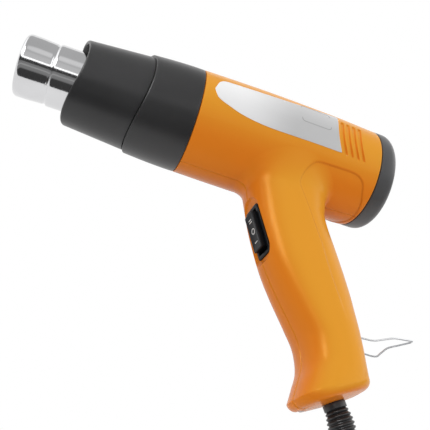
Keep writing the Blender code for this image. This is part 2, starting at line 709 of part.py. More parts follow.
def make_heater(tool):
    """Mica sleeve, cross shaped former with two windings, end discs and thermal fuse."""
    bore = SLEEVE_RADIUS - SLEEVE_WALL
    add_object("mica_sleeve", ring(SLEEVE_FRONT, SLEEVE_REAR, bore, SLEEVE_RADIUS, 24), MICA, tool)
    inset = DISC_THICKNESS
    for name, start in (("heater_front_disc", SLEEVE_FRONT + inset),
                        ("heater_rear_disc", SLEEVE_REAR - inset - DISC_THICKNESS)):
        disc = add_object(name, rod(start, start + DISC_THICKNESS, bore - GAP, 20), MICA, tool)
        holes = []
        for quarter in range(4):
            angle = math.radians(45.0 + 90.0 * quarter)
            place = (start - 0.001, DISC_HOLE_CIRCLE * math.cos(angle), DISC_HOLE_CIRCLE * math.sin(angle))
            holes.append(aim(rod(0.0, DISC_THICKNESS + 0.002, DISC_HOLE_RADIUS, 8), place, (1, 0, 0)))
        combine(disc, add_cutter(name + "_holes", merge_shapes(holes), tool), "DIFFERENCE")
    half = FORMER_HALF_WIDTH
    web = FORMER_THICKNESS / 2.0
    cross = [(web, web), (web, half), (-web, half), (-web, web), (-half, web), (-half, -web), (-web, -web),
             (-web, -half), (web, -half), (web, -web), (half, -web), (half, web)]
    front = SLEEVE_FRONT + inset + DISC_THICKNESS + GAP
    rear = SLEEVE_REAR - inset - DISC_THICKNESS - GAP
    add_object("heater_former", extruded(cross, front, rear), MICA, tool)
    radius = half + GAP + COIL_TUBE_RADIUS
    total = COIL_TURNS * COIL_PITCH
    start = (front + rear - total) / 2.0 - COIL_PITCH / 4.0
    for n, name in enumerate(("heater_coil_low", "heater_coil_high")):
        points = []
        for i in range(COIL_TURNS * COIL_POINTS_PER_TURN + 1):
            turn = i / COIL_POINTS_PER_TURN
            angle = 2.0 * math.pi * turn
            x = start + COIL_PITCH * (turn + 0.5 * n)
            points.append((x, radius * math.cos(angle), radius * math.sin(angle)))
        tube_curve(name, points, COIL_TUBE_RADIUS, NICHROME, tool, 0)
    offset = web + GAP + FUSE_RADIUS
    lead = FUSE_LEAD_RADIUS
    middle = (front + rear) / 2.0
    ends = FUSE_LENGTH / 2.0
    profile = [(-ends - FUSE_LEAD_LENGTH, 0.0), (-ends - FUSE_LEAD_LENGTH, lead), (-ends, lead), (-ends, FUSE_RADIUS),
               (ends, FUSE_RADIUS), (ends, lead), (ends + FUSE_LEAD_LENGTH, lead), (ends + FUSE_LEAD_LENGTH, 0.0)]
    add_object("thermal_fuse", aim(turned(profile, 12), (middle, offset, offset), (1, 0, 0)), ZINC, tool)


def make_duct(tool):
    """Funnel that leads the fan's air from the housing into the mica sleeve."""
    front = BULKHEAD_REAR + GAP
    ring_radius = bore_radius(DUCT_REAR) - GAP
    neck = DUCT_NECK_RADIUS
    wall = DUCT_WALL
    profile = [
        (front, neck - wall), (front, neck), (DUCT_NECK_END, neck), (DUCT_CONE_END, ring_radius),
        (DUCT_REAR, ring_radius), (DUCT_REAR, ring_radius - DUCT_RING_WALL),
        (DUCT_CONE_END + wall, ring_radius - DUCT_RING_WALL), (DUCT_NECK_END + wall, neck - wall)]
    add_object("air_duct", turned(profile, 24), NYLON, tool)
    mount_radius = bore_radius(MOUNT_REAR) - GAP
    mount = add_object("motor_mount", ring(MOUNT_FRONT, MOUNT_REAR, mount_radius - MOUNT_RING_WALL,
                                           mount_radius, 24), NYLON, tool)
    cup_bore = MOTOR_RADIUS + GAP
    cup = cup_bore + MOUNT_CUP_WALL
    face_rear = MOTOR_FRONT - GAP
    face_front = face_rear - MOUNT_FACE_THICKNESS
    cup_profile = [
        (face_front, MOUNT_FACE_HOLE), (face_front, cup), (face_rear + MOUNT_CUP_LENGTH, cup),
        (face_rear + MOUNT_CUP_LENGTH, cup_bore), (face_rear, cup_bore), (face_rear, MOUNT_FACE_HOLE)]
    combine(mount, add_cutter("mount_cup", turned(cup_profile, 20), tool), "UNION")
    inner = cup - MOUNT_CUP_WALL * 0.5
    outer = mount_radius - MOUNT_RING_WALL * 0.5
    spokes = []
    depth = MOUNT_REAR - face_front - 0.0006
    for i in range(MOUNT_SPOKE_COUNT):
        angle = 2.0 * math.pi * (i + 0.5) / MOUNT_SPOKE_COUNT
        outward = (0.0, math.cos(angle), math.sin(angle))
        size = (outer - inner, depth, MOUNT_SPOKE_THICKNESS)
        spoke = block(size, ((outer + inner) / 2.0, 0.0, 0.0))
        spokes.append(aim(spoke, (face_front + 0.0003 + depth / 2.0, 0.0, 0.0), outward, (1, 0, 0)))
    combine(mount, add_cutter("mount_spokes", merge_shapes(spokes), tool), "UNION")


def arc_block(start, end, inner, outer, middle, half_angle, steps=8):
    """A curved block about X between two radii, centred on an angle."""
    rings = []
    for i in range(steps + 1):
        angle = middle + half_angle * (2.0 * i / steps - 1.0)
        c = math.cos(angle)
        s = math.sin(angle)
        corners = [(start, inner), (end, inner), (end, outer), (start, outer)]
        rings.append([(x, r * c, r * s) for x, r in corners])
    return loft(rings)


def make_motor(tool, rotor):
    """Direct current motor with its fan: can, end cap, magnets, bushes, brushes and rotor."""
    can_bore = MOTOR_RADIUS - MOTOR_CAN_WALL
    bush_hole = BUSH_RADIUS + GAP
    can_profile = [
        (MOTOR_FRONT, bush_hole), (MOTOR_FRONT, MOTOR_RADIUS), (MOTOR_REAR, MOTOR_RADIUS), (MOTOR_REAR, can_bore),
        (MOTOR_FRONT + MOTOR_CAN_WALL, can_bore), (MOTOR_FRONT + MOTOR_CAN_WALL, bush_hole)]
    add_object("motor_can", turned(can_profile, 20), ZINC, tool)
    plug = can_bore - GAP
    cap_profile = [
        (END_CAP_FRONT, bush_hole), (END_CAP_FRONT, plug), (MOTOR_REAR + GAP, plug),
        (MOTOR_REAR + GAP, MOTOR_RADIUS), (END_CAP_REAR, MOTOR_RADIUS), (END_CAP_REAR, bush_hole)]
    add_object("motor_end_cap", turned(cap_profile, 20), BLACK, tool)
    bush_front = MOTOR_FRONT + MOTOR_CAN_WALL / 2.0 - BUSH_LENGTH / 2.0
    add_object("motor_bush_front", ring(bush_front, bush_front + BUSH_LENGTH, BUSH_BORE, BUSH_RADIUS, 12), BRONZE, tool)
    add_object("motor_bush_rear", ring(END_CAP_FRONT, END_CAP_FRONT + BUSH_LENGTH, BUSH_BORE, BUSH_RADIUS, 12),
               BRONZE, tool)
    middle = (MOTOR_FRONT + MOTOR_CAN_WALL + END_CAP_FRONT) / 2.0 - COMMUTATOR_LENGTH / 2.0
    magnet_outer = can_bore - GAP
    for i, name in enumerate(("motor_magnet_upper", "motor_magnet_lower")):
        angle = math.pi / 2.0 + math.pi * i
        shape = arc_block(middle - MAGNET_LENGTH / 2.0, middle + MAGNET_LENGTH / 2.0,
                          magnet_outer - MAGNET_THICKNESS, magnet_outer, angle, MAGNET_HALF_ANGLE, 6)
        add_object(name, shape, FERRITE, tool)
    commutator_front = END_CAP_FRONT - GAP - COMMUTATOR_LENGTH
    core_front = middle - CORE_LENGTH / 2.0
    poles = []
    steps = 6
    for i in range(CORE_POLES * steps):
        angle = 2.0 * math.pi * i / (CORE_POLES * steps)
        deep = i % steps in (0, 1)
        radius = CORE_RADIUS - (CORE_SLOT_DEPTH if deep else 0.0)
        poles.append((radius * math.cos(angle), radius * math.sin(angle)))
    core = add_object("rotor_core", extruded(poles, core_front, core_front + CORE_LENGTH), ZINC, rotor)
    bore = rod(core_front - 0.001, core_front + CORE_LENGTH + 0.001, SHAFT_RADIUS + GAP, 12)
    combine(core, add_cutter("core_bore", bore, rotor), "DIFFERENCE")
    add_object("commutator", ring(commutator_front, commutator_front + COMMUTATOR_LENGTH, SHAFT_RADIUS + GAP,
                                  COMMUTATOR_RADIUS, 16), COPPER, rotor)
    length, width, height = BRUSH_SIZE
    for i, side in enumerate((1.0, -1.0)):
        centre = (END_CAP_FRONT - GAP - length / 2.0, side * (COMMUTATOR_RADIUS + GAP + width / 2.0), 0.0)
        add_object("brush_%d" % (i + 1), block(BRUSH_SIZE, centre), CARBON, tool)
    shaft_end = END_CAP_FRONT + BUSH_LENGTH
    add_object("motor_shaft", rod(FAN_FRONT, shaft_end, SHAFT_RADIUS, 12), ZINC, rotor)
    fan = add_object("fan", ring(FAN_FRONT, FAN_FRONT + FAN_LENGTH, SHAFT_RADIUS + GAP, FAN_HUB_RADIUS, 14),
                     BLACK, rotor)
    tip = bore_radius(DUCT_REAR) - GAP - DUCT_RING_WALL - FAN_CLEARANCE
    blades = merge_shapes([blade_shape(tip, 2.0 * math.pi * i / FAN_BLADES) for i in range(FAN_BLADES)])
    combine(fan, add_cutter("fan_blades", blades, rotor), "UNION")


def blade_shape(tip, turn):
    """One twisted fan blade from inside the hub to its tip."""
    root = FAN_HUB_RADIUS - 0.0010
    middle = FAN_FRONT + FAN_LENGTH / 2.0
    rings = []
    for k in range(4):
        share = k / 3.0
        radius = blend(root, tip * 0.985, share)
        pitch = blend(math.radians(52.0), math.radians(32.0), share)
        reach = blend(0.0040, 0.0085, share)
        half = FAN_BLADE_THICKNESS / 2.0
        ring_points = []
        for along, across in ((-reach, -half), (reach, -half), (reach, half), (-reach, half)):
            x = middle + along * math.sin(pitch) - across * math.cos(pitch)
            arc = along * math.cos(pitch) + across * math.sin(pitch)
            angle = turn + arc / radius
            ring_points.append((x, radius * math.cos(angle), radius * math.sin(angle)))
        rings.append(ring_points)
    return loft(rings)


def make_board(tool):
    """Rectifier board behind the motor with its four diodes."""
    front = END_CAP_REAR + GAP
    rear = front + BOARD_THICKNESS
    add_object("diode_board", rod(front, rear, BOARD_RADIUS, 28), BOARD, tool)
    for i in range(DIODE_COUNT):
        y = (i - (DIODE_COUNT - 1) / 2.0) * DIODE_PITCH
        start = (rear + GAP + DIODE_RADIUS, y, -DIODE_LENGTH / 2.0)
        add_object("diode_%d" % (i + 1), aim(rod(0.0, DIODE_LENGTH, DIODE_RADIUS, 10), start, (0, 0, 1)), CARBON, tool)


def housing_solid(tool):
    """Both housing halves as one hollow helper solid, before they are parted."""
    barrel = turned([(BARREL_FRONT, 0.0), (BARREL_FRONT, BARREL_FRONT_RADIUS), (BARREL_REAR, BARREL_REAR_RADIUS),
                     (BARREL_REAR, 0.0)], BARREL_SEGMENTS)
    solid = add_cutter("housing_solid", barrel, tool)
    combine(solid, add_cutter("handle_solid", handle_outer(), tool), "UNION")
    hollow = add_cutter("housing_hollow", barrel_hollow(), tool)
    combine(hollow, add_cutter("handle_hollow", handle_cavity(), tool), "UNION")
    for name, shape in inner_features():
        combine(hollow, add_cutter(name, shape, tool), "DIFFERENCE")
    combine(solid, hollow, "DIFFERENCE")
    for name, shape in housing_cuts():
        combine(solid, add_cutter(name, shape, tool), "DIFFERENCE")
    return solid


def barrel_hollow():
    """Bore of the barrel, open at both ends, with the two ribs that hold the motor mount."""
    over = 0.002
    front = BARREL_FRONT - over
    rear = BARREL_REAR + over
    profile = [(front, 0.0), (front, bore_radius(front))]
    for start in (REAR_RIB_START, MOUNT_REAR + GAP):
        end = start + RIB_THICKNESS
        low = bore_radius(end) - RIB_HEIGHT
        profile += [(start, bore_radius(start)), (start, low), (end, low), (end, bore_radius(end))]
    profile += [(rear, bore_radius(rear)), (rear, 0.0)]
    return turned(profile, BARREL_SEGMENTS)


def inner_features():
    """What stands inside the hollow: switch pad, screw bosses, stand block and clamp posts."""
    features = []
    pad = block(SWITCH_PAD, (-SWITCH_PAD[0] / 2.0 + SWITCH_SEAT_DEPTH, 0.0, 0.0))
    features.append(("switch_pad", in_switch(pad)))
    reach = 2.0 * HANDLE_SECTIONS[0][2]
    bosses = []
    for x, z in HOUSING_SCREWS:
        bosses.append(aim(rod(-reach, reach, BOSS_RADIUS, 10), (x, 0.0, z), (0, 1, 0), (1, 0, 0)))
    features.append(("bosses", merge_shapes(bosses)))
    features.append(("stand_block", block(STAND_BLOCK, (WIRE_PIVOT[0] - 0.001, 0.0, WIRE_PIVOT[1]))))
    posts = []
    for side in (-1.0, 1.0):
        foot = clamp_point(side)
        shape = rod(-reach, 0.0, CLAMP_POST_RADIUS, 8)
        posts.append(aim(shape, tuple(foot), (0, 1, 0), (1, 0, 0)))
    features.append(("clamp_posts", merge_shapes(posts)))
    return features


def clamp_point(side):
    """Where a clamp screw's axis crosses the parting plane."""
    across = Vector((math.cos(HANDLE_END_RAKE), 0.0, math.sin(HANDLE_END_RAKE)))
    centre = Vector((RELIEF_CENTRE[0], 0.0, RELIEF_CENTRE[1])) - HANDLE_AXIS * CLAMP_OFFSET
    return centre + across * (side * CLAMP_SCREW_REACH)


def housing_cuts():
    """Openings through the housing: switch, vents, relief, stand and label pocket."""
    cuts = []
    flange_length, flange_width, flange_thick = SWITCH_FLANGE
    clear = 2.0 * GAP
    seat = block((0.012, flange_width + clear, flange_length + clear), (0.006, 0.0, 0.0))
    cuts.append(("switch_seat", in_switch(seat)))
    can_length = SWITCH_WINDOW[0] + 2.0 * SWITCH_CAN_WALL + clear
    can_width = SWITCH_WINDOW[1] + 2.0 * SWITCH_CAN_WALL + clear
    cuts.append(("switch_opening", in_switch(block((0.012, can_width, can_length)))))
    vents = []
    for i in range(VENT_COUNT):
        shape = block((VENT_WIDTH, 0.09, VENT_HEIGHT))
        turn = Matrix.Rotation(-VENT_TILT, 3, "Y")
        centre = Vector((VENT_FIRST + i * VENT_PITCH, 0.0, VENT_CENTRE_Z))
        vents.append(([tuple(centre + turn @ Vector(v)) for v in shape[0]], shape[1]))
    cuts.append(("side_vents", merge_shapes(vents)))
    hole = rod(-0.012, 0.012, RELIEF_NECK_RADIUS + GAP, 20)
    cuts.append(("relief_hole", aim(hole, (RELIEF_CENTRE[0], 0.0, RELIEF_CENTRE[1]), HANDLE_AXIS)))
    depth, width, height = STAND_NOTCH
    reach = 0.020
    notch = block((reach, width, height), (WIRE_PIVOT[0] - depth + reach / 2.0, 0.0, WIRE_PIVOT[1]))
    cuts.append(("stand_notch", notch))
    pin = rod(-WIRE_LEG_Y - WIRE_PIN_LENGTH - 0.001, WIRE_LEG_Y + WIRE_PIN_LENGTH + 0.001, WIRE_RADIUS + GAP, 12)
    cuts.append(("stand_pin_hole", aim(pin, (WIRE_PIVOT[0], 0.0, WIRE_PIVOT[1]), (0, 1, 0), (1, 0, 0))))
    cuts.append(("label_pocket", label_shape(GAP, LABEL_THICKNESS - LABEL_PROUD + GAP, 0.003)))
    return cuts


def label_shape(margin, depth, proud):
    """Curved plate on the barrel's left, blunt behind and elliptical in front."""
    steps = 8
    tip = LABEL_TIP - margin
    rear = LABEL_REAR + margin
    rows = []
    for i in range(steps + 1):
        share = i / steps
        x = tip + 0.0006 + (LABEL_NOSE_LENGTH - 0.0006) * share ** 1.6
        rows.append((x, min(1.0, (LABEL_NOSE_LENGTH + tip - x) / LABEL_NOSE_LENGTH)))
    rows.append((rear, 0.0))
    outer = []
    inner = []
    across = 6
    for x, gone in rows:
        half = LABEL_HALF_ANGLE * math.sqrt(max(0.0, 1.0 - gone ** 2.2)) + margin / BARREL_FRONT_RADIUS
        for target, radius in ((outer, barrel_radius(x) + proud), (inner, barrel_radius(x) - depth)):
            line = []
            for k in range(across + 1):
                angle = LABEL_MID_ANGLE + half * (2.0 * k / across - 1.0)
                line.append((x, -radius * math.cos(angle), radius * math.sin(angle)))
            target.append(line)
    rings = []
    for top, bottom in zip(outer, inner):
        rings.append(top + bottom[::-1])
    return loft(rings)


def make_housing(tool):
    """Orange clamshell: two halves, their screws and the label plate."""
    solid = housing_solid(tool)
    wide = 0.05
    long = BARREL_REAR - BARREL_FRONT + 0.04
    centre_x = (BARREL_FRONT + BARREL_REAR) / 2.0
    screw_cut = merge_shapes([screw_hole_shape(x, z) for x, z in HOUSING_SCREWS])
    clamp_cut = merge_shapes([clamp_hole_shape(side) for side in (-1.0, 1.0)])
    for name, side in (("left_housing", -1.0), ("right_housing", 1.0)):
        shape = block((long, wide, 0.26), (centre_x, side * (wide / 2.0 + PARTING), -0.06))
        half = add_object(name, shape, ORANGE, tool)
        combine(half, solid, "INTERSECT")
        combine(half, add_cutter(name + "_screw_holes", screw_cut, tool), "DIFFERENCE")
        if side < 0.0:
            combine(half, add_cutter(name + "_clamp_holes", clamp_cut, tool), "DIFFERENCE")
    shape = screw_shape(HOUSING_SCREW_HEAD_RADIUS, HOUSING_SCREW_HEAD_HEIGHT, HOUSING_SCREW_RADIUS,
                        HOUSING_SCREW_LENGTH)
    for i, (x, z) in enumerate(HOUSING_SCREWS):
        placed = aim(shape, (x, HOUSING_SCREW_SEAT + GAP, z), (0, -1, 0), (1, 0, 0))
        add_object("housing_screw_%d" % (i + 1), placed, ZINC, tool)
    add_object("label_plate", label_shape(0.0, LABEL_THICKNESS - LABEL_PROUD, LABEL_PROUD), SILVER, tool)


def screw_hole_shape(x, z):
    """Counterbore from the right side, then the screw's own hole."""
    hole = HOUSING_SCREW_RADIUS + SCREW_HOLE_CLEARANCE
    head = HOUSING_SCREW_HEAD_RADIUS + GAP
    far = HOUSING_SCREW_LENGTH - HOUSING_SCREW_SEAT + 0.001
    profile = [(-far, 0.0), (-far, hole), (HOUSING_SCREW_SEAT, hole), (HOUSING_SCREW_SEAT, head), (0.03, head),
               (0.03, 0.0)]
    return aim(turned(profile, 10), (x, 0.0, z), (0, 1, 0), (1, 0, 0))


def clamp_hole_shape(side):
    """Pilot hole in a clamp post."""
    foot = clamp_point(side)
    hole = rod(-CLAMP_SCREW_BITE - 0.001, CORD_RADIUS, CLAMP_SCREW_RADIUS + SCREW_HOLE_CLEARANCE, 8)
    return aim(hole, tuple(foot), (0, 1, 0), (1, 0, 0))


def make_cap(tool):
    """Black rear cap with a rounded rim, a spigot and intake slots."""
    edge = CAP_EDGE_RADIUS
    rim = BARREL_REAR_RADIUS
    spigot = bore_radius(BARREL_REAR) - GAP
    wall = CAP_WALL
    bore = spigot - CAP_SPIGOT_WALL
    arc = [(CAP_REAR - edge + edge * math.sin(a), rim - edge + edge * math.cos(a))
           for a in (math.radians(d) for d in (90.0, 67.5, 45.0, 22.5, 0.0))]
    inner_edge = edge - wall
    inner = [(CAP_REAR - edge + inner_edge * math.sin(a), rim - edge + inner_edge * math.cos(a))
             for a in (math.radians(d) for d in (30.0, 60.0, 90.0))]
    profile = [(CAP_REAR, 0.0)] + arc + [(CAP_FRONT + 0.0004, rim), (CAP_FRONT, rim - 0.0004), (CAP_FRONT, spigot)]
    profile += [(BARREL_REAR - CAP_SPIGOT_LENGTH, spigot), (BARREL_REAR - CAP_SPIGOT_LENGTH, bore)]
    profile += [(CAP_REAR - edge, bore)] + inner + [(CAP_REAR - wall, 0.0)]
    cap = add_object("rear_cap", turned(profile, 28), BLACK, tool)
    slots = []
    for i in range(CAP_SLOT_COUNT):
        z = (i - (CAP_SLOT_COUNT - 1) / 2.0) * CAP_SLOT_PITCH
        half = math.sqrt(CAP_SLOT_REACH ** 2 - z ** 2)
        slots.append(block((0.02, 2.0 * half, CAP_SLOT_WIDTH), (CAP_REAR, 0.0, z)))
    combine(cap, add_cutter("cap_slots", merge_shapes(slots), tool), "DIFFERENCE")


def make_switch(tool, pivot):
    """Rocker switch: flanged body with an open can, three blades and the rocker."""
    length, width, thick = SWITCH_FLANGE
    window_length, window_width = SWITCH_WINDOW
    wall = SWITCH_CAN_WALL
    body = add_object("switch_body", in_switch(block((thick, width, length), (thick / 2.0 + GAP, 0.0, 0.0))),
                      BLACK, tool)
    can_size = (SWITCH_CAN_DEPTH + 0.0005, window_width + 2.0 * wall, window_length + 2.0 * wall)
    can = block(can_size, (GAP + 0.0005 - can_size[0] / 2.0, 0.0, 0.0))
    combine(body, add_cutter("switch_can", in_switch(can), tool), "UNION")
    room = SWITCH_CAN_DEPTH - 2.0 * wall
    window = block((room + 0.01, window_width, window_length), (0.005 - room / 2.0 + 0.0, 0.0, 0.0))
    combine(body, add_cutter("switch_window", in_switch(window), tool), "DIFFERENCE")
    pin = rod(-window_width / 2.0 - wall * 0.7, window_width / 2.0 + wall * 0.7, ROCKER_PIN_RADIUS + GAP, 12)
    pin = aim(pin, tuple(ROCKER_AXIS), (0, 1, 0), (1, 0, 0))
    combine(body, add_cutter("switch_pin_hole", pin, tool), "DIFFERENCE")
    depth = SWITCH_CAN_DEPTH - GAP
    terminal_width, terminal_height, terminal_length = TERMINAL_SIZE
    for i, name in enumerate(("switch_blade_upper", "switch_blade_middle", "switch_blade_lower")):
        centre = (-depth - GAP - terminal_length / 2.0, 0.0, (i - 1) * TERMINAL_PITCH)
        size = (terminal_length, terminal_height, terminal_width)
        add_object(name, in_switch(block(size, centre)), BRASS, tool)
    half = ROCKER_LENGTH / 2.0
    top = ROCKER_AXIS_DEPTH
    dip = top + ROCKER_END_HEIGHT - ROCKER_DIP
    end = top + ROCKER_END_HEIGHT
    outline = [(dip, 0.0), (blend(dip, end, 0.35), half * 0.55), (end, half), (end - 0.0024, half)]
    outline += [(-0.0010, half * 0.62), (-0.0042, half * 0.22)]
    outline += [(x, -z) for x, z in reversed(outline[1:])]
    rocker_half = window_width / 2.0 - GAP
    rings = []
    for y in (-rocker_half, rocker_half):
        rings.append([tuple(SWITCH_OUT * x + Vector((0.0, y, 0.0)) + SWITCH_DOWN * z) for x, z in outline])
    rocker = add_object("switch_rocker", loft(rings), BLACK, pivot)
    stub = rod(-window_width / 2.0 - wall * 0.5, window_width / 2.0 + wall * 0.5, ROCKER_PIN_RADIUS, 12)
    stub = aim(stub, (0.0, 0.0, 0.0), (0, 1, 0), (1, 0, 0))
    combine(rocker, add_cutter("rocker_pins", stub, pivot), "UNION")


def make_stand(pivot):
    """Bent wire stand, one unbroken wire whose ends are turned outward into the housing."""
    near = [(x, y, z) for x, z, y in WIRE_OUTLINE]
    end = WIRE_LEG_Y + WIRE_PIN_LENGTH
    knots = [(0.0, end, 0.0), (0.0, WIRE_LEG_Y + 0.0012, 0.0), (0.0008, WIRE_LEG_Y, 0.0)]
    knots += near[1:-1]
    mirrored = [(x, -y, z) for x, y, z in reversed(knots)]
    path = knots + [near[-1]] + mirrored
    tube_curve("stand_wire", path, WIRE_RADIUS, STEEL, pivot, 1)


def make_relief(tool):
    """Ribbed strain relief that leaves the handle's end and droops, the cord inside and its clamp."""
    centre = Vector((RELIEF_CENTRE[0], 0.0, RELIEF_CENTRE[1]))
    neck_half = HANDLE_END_WALL + 0.0004
    stations = [(-neck_half - RELIEF_INNER_FLANGE, CORD_RADIUS + 0.0008),
                (-neck_half - RELIEF_INNER_FLANGE, RELIEF_COLLAR_RADIUS),
                (-neck_half, RELIEF_COLLAR_RADIUS), (-neck_half, RELIEF_NECK_RADIUS),
                (GAP, RELIEF_NECK_RADIUS), (GAP, RELIEF_COLLAR_RADIUS),
                (GAP + RELIEF_COLLAR_LENGTH, RELIEF_COLLAR_RADIUS)]
    start = GAP + RELIEF_COLLAR_LENGTH
    step = RELIEF_TAIL_LENGTH / RELIEF_RIBS
    for i in range(RELIEF_RIBS):
        top = blend(RELIEF_RIB_RADIUS, RELIEF_TIP_RADIUS, i / (RELIEF_RIBS - 1.0))
        stations += [(start + step * (i + 0.12), top - RELIEF_WAIST_DEPTH), (start + step * (i + 0.62), top)]
    stations.append((start + RELIEF_TAIL_LENGTH, RELIEF_TIP_RADIUS - RELIEF_WAIST_DEPTH * 0.5))
    rings = []
    count = 10
    for distance, radius in stations:
        place, heading = relief_path(distance)
        across = Vector((math.cos(HANDLE_END_RAKE), 0.0, math.sin(HANDLE_END_RAKE)))
        upward = heading.cross(across).normalized()
        rings.append([tuple(centre + place + across * (radius * math.cos(a)) + upward * (radius * math.sin(a)))
                      for a in (2.0 * math.pi * k / count for k in range(count))])
    add_object("strain_relief", loft(rings), RUBBER, tool)
    inner_start = neck_half + RELIEF_INNER_FLANGE + GAP
    inner = aim(rod(inner_start, inner_start + CORD_INNER_LENGTH, CORD_RADIUS, 14), tuple(centre), -HANDLE_AXIS)
    add_object("cord_inner_end", inner, RUBBER, tool)
    middle = centre - HANDLE_AXIS * CLAMP_OFFSET
    under = CORD_RADIUS + GAP
    top = under + CLAMP_THICKNESS
    outer = CLAMP_SCREW_REACH + CLAMP_FOOT
    inner = CLAMP_SCREW_REACH - CLAMP_FOOT
    outline = [(PARTING, -outer), (top, -outer), (top, outer), (PARTING, outer), (PARTING, inner), (under, inner),
               (under, -inner), (PARTING, -inner)]
    bar = extruded(outline, -CLAMP_WIDTH / 2.0, CLAMP_WIDTH / 2.0)
    clamp = add_object("cord_clamp", aim(bar, tuple(middle), HANDLE_AXIS), NYLON, tool)
    combine(clamp, add_cutter("clamp_screw_holes", merge_shapes([clamp_hole_through(s) for s in (-1.0, 1.0)]), tool),
            "DIFFERENCE")
    seat = top + GAP
    shape = screw_shape(CLAMP_SCREW_HEAD_RADIUS, CLAMP_SCREW_HEAD_HEIGHT, CLAMP_SCREW_RADIUS,
                        seat + CLAMP_SCREW_BITE, 8)
    for i, side in enumerate((-1.0, 1.0)):
        foot = clamp_point(side)
        placed = aim(shape, (foot.x, seat, foot.z), (0, -1, 0), (1, 0, 0))
        add_object("clamp_screw_%d" % (i + 1), placed, ZINC, tool)


def clamp_hole_through(side):
    """Hole through the clamp bar."""
    foot = clamp_point(side)
    hole = rod(-0.001, CORD_RADIUS + CLAMP_THICKNESS + 0.002, CLAMP_SCREW_RADIUS + SCREW_HOLE_CLEARANCE, 8)
    return aim(hole, tuple(foot), (0, 1, 0), (1, 0, 0))


def relief_path(distance):
    """Place and heading on the relief's line: straight to the collar's end, then an even bend."""
    start = GAP + RELIEF_COLLAR_LENGTH
    lift = Vector((0.0, 1.0, 0.0))
    if distance <= start:
        return HANDLE_AXIS * distance, HANDLE_AXIS
    radius = RELIEF_TAIL_LENGTH / RELIEF_DROOP
    angle = (distance - start) / radius
    place = HANDLE_AXIS * (start + radius * math.sin(angle)) + lift * (radius * (1.0 - math.cos(angle)))
    return place, HANDLE_AXIS * math.cos(angle) + lift * math.sin(angle)


def make_leads(tool):
    """Two insulated leads from the cord's inner end to the switch and to the diode board."""
    centre = Vector((RELIEF_CENTRE[0], 0.0, RELIEF_CENTRE[1]))
    reach = HANDLE_END_WALL + 0.0004 + RELIEF_INNER_FLANGE + CORD_INNER_LENGTH + 3.0 * GAP
    root = centre - HANDLE_AXIS * reach
    blade_end = SWITCH_CAN_DEPTH + TERMINAL_SIZE[2] + GAP
    finish = Vector(in_switch(([(-blade_end, 0.0, TERMINAL_PITCH)], []))[0][0])
    before = Vector(in_switch(([(-blade_end - 0.004, 0.0, TERMINAL_PITCH)], []))[0][0])
    knots = [root, root - HANDLE_AXIS * 0.003]
    knots += [Vector((x, 0.0, z)) for x, z in LIVE_LEAD_ROUTE] + [before, finish]
    for i in range(3):
        knots[i] = knots[i] + Vector((0.0, -LEAD_SPACING, 0.0))
    tube_curve("live_lead", smooth_path(knots, 16), LEAD_RADIUS, BROWN_LEAD, tool, 1)
    board_rear = END_CAP_REAR + GAP + BOARD_THICKNESS + GAP
    knots = [root, root - HANDLE_AXIS * 0.003]
    knots += [Vector((x, 0.0, z)) for x, z in NEUTRAL_LEAD_ROUTE]
    knots += [Vector((board_rear + 0.004, 0.0, NEUTRAL_JOINT_Z)), Vector((board_rear, 0.0, NEUTRAL_JOINT_Z))]
    for i in range(3):
        knots[i] = knots[i] + Vector((0.0, LEAD_SPACING, 0.0))
    tube_curve("neutral_lead", smooth_path(knots, 24), LEAD_RADIUS, BLUE_LEAD, tool, 1)


def coil_points():
    """Centre line of the cord's coil: loops that spiral in on the bench and out again one layer higher.

    At t turns the radius is outer - pitch * t going in and inner + pitch * (t - n) coming out. The climb
    to the upper layer is spread over the half turn about t = n, where the spiral reverses.
    """
    span = LOOPS_PER_LAYER * LOOP_PITCH
    outer = COIL_MEAN_RADIUS + span / 2.0
    low = CORD_RADIUS + TIE_THICKNESS + GAP
    points = []
    turns = CORD_COIL_LAYERS * LOOPS_PER_LAYER
    for k in range(turns * LOOP_POINTS + 1):
        t = k / LOOP_POINTS
        radius = outer - LOOP_PITCH * t if t < LOOPS_PER_LAYER else outer - 2.0 * span + LOOP_PITCH * t
        climb = min(1.0, max(0.0, (t - LOOPS_PER_LAYER + 0.25) / 0.5))
        height = low + LOOP_PITCH * climb * climb * (3.0 - 2.0 * climb)
        angle = -2.0 * math.pi * t
        points.append((COIL_CENTRE[0] + radius * math.cos(angle), COIL_CENTRE[1] + radius * math.sin(angle), height))
    first = np.array(points[0])
    last = np.array(points[-1])
    down = np.array((0.0, -1.0, 0.0))
    lead_in = [tuple(first - down * (2.0 * CORD_RADIUS))]
    tail = [tuple(last + down * (PLUG_TAIL * share) + np.array((0.0, 0.0, plug_rise() * ease)))
            for share, ease in ((0.35, 0.5), (0.53, 1.0), (1.0, 1.0))]
    return lead_in + points + tail


def plug_rise():
    """How much higher the plug's axis lies than the coil's upper layer."""
    return PLUG_BODY[1] / 2.0 - (CORD_RADIUS + TIE_THICKNESS + GAP + LOOP_PITCH)


def least_self_gap(points):
    """Smallest free distance between stretches of the coil that aren't neighbours along it."""
    pts = np.asarray(points)
    dense = [pts[i] + (pts[i + 1] - pts[i]) * share for i in range(len(pts) - 1) for share in (0.0, 0.25, 0.5, 0.75)]
    dense = np.array(dense)
    least = 1.0
    apart = 2 * LOOP_POINTS
    for i in range(len(dense) - apart):
        far = np.linalg.norm(dense[i + apart:] - dense[i], axis=1).min()
        least = min(least, far)
    return least - 2.0 * CORD_RADIUS


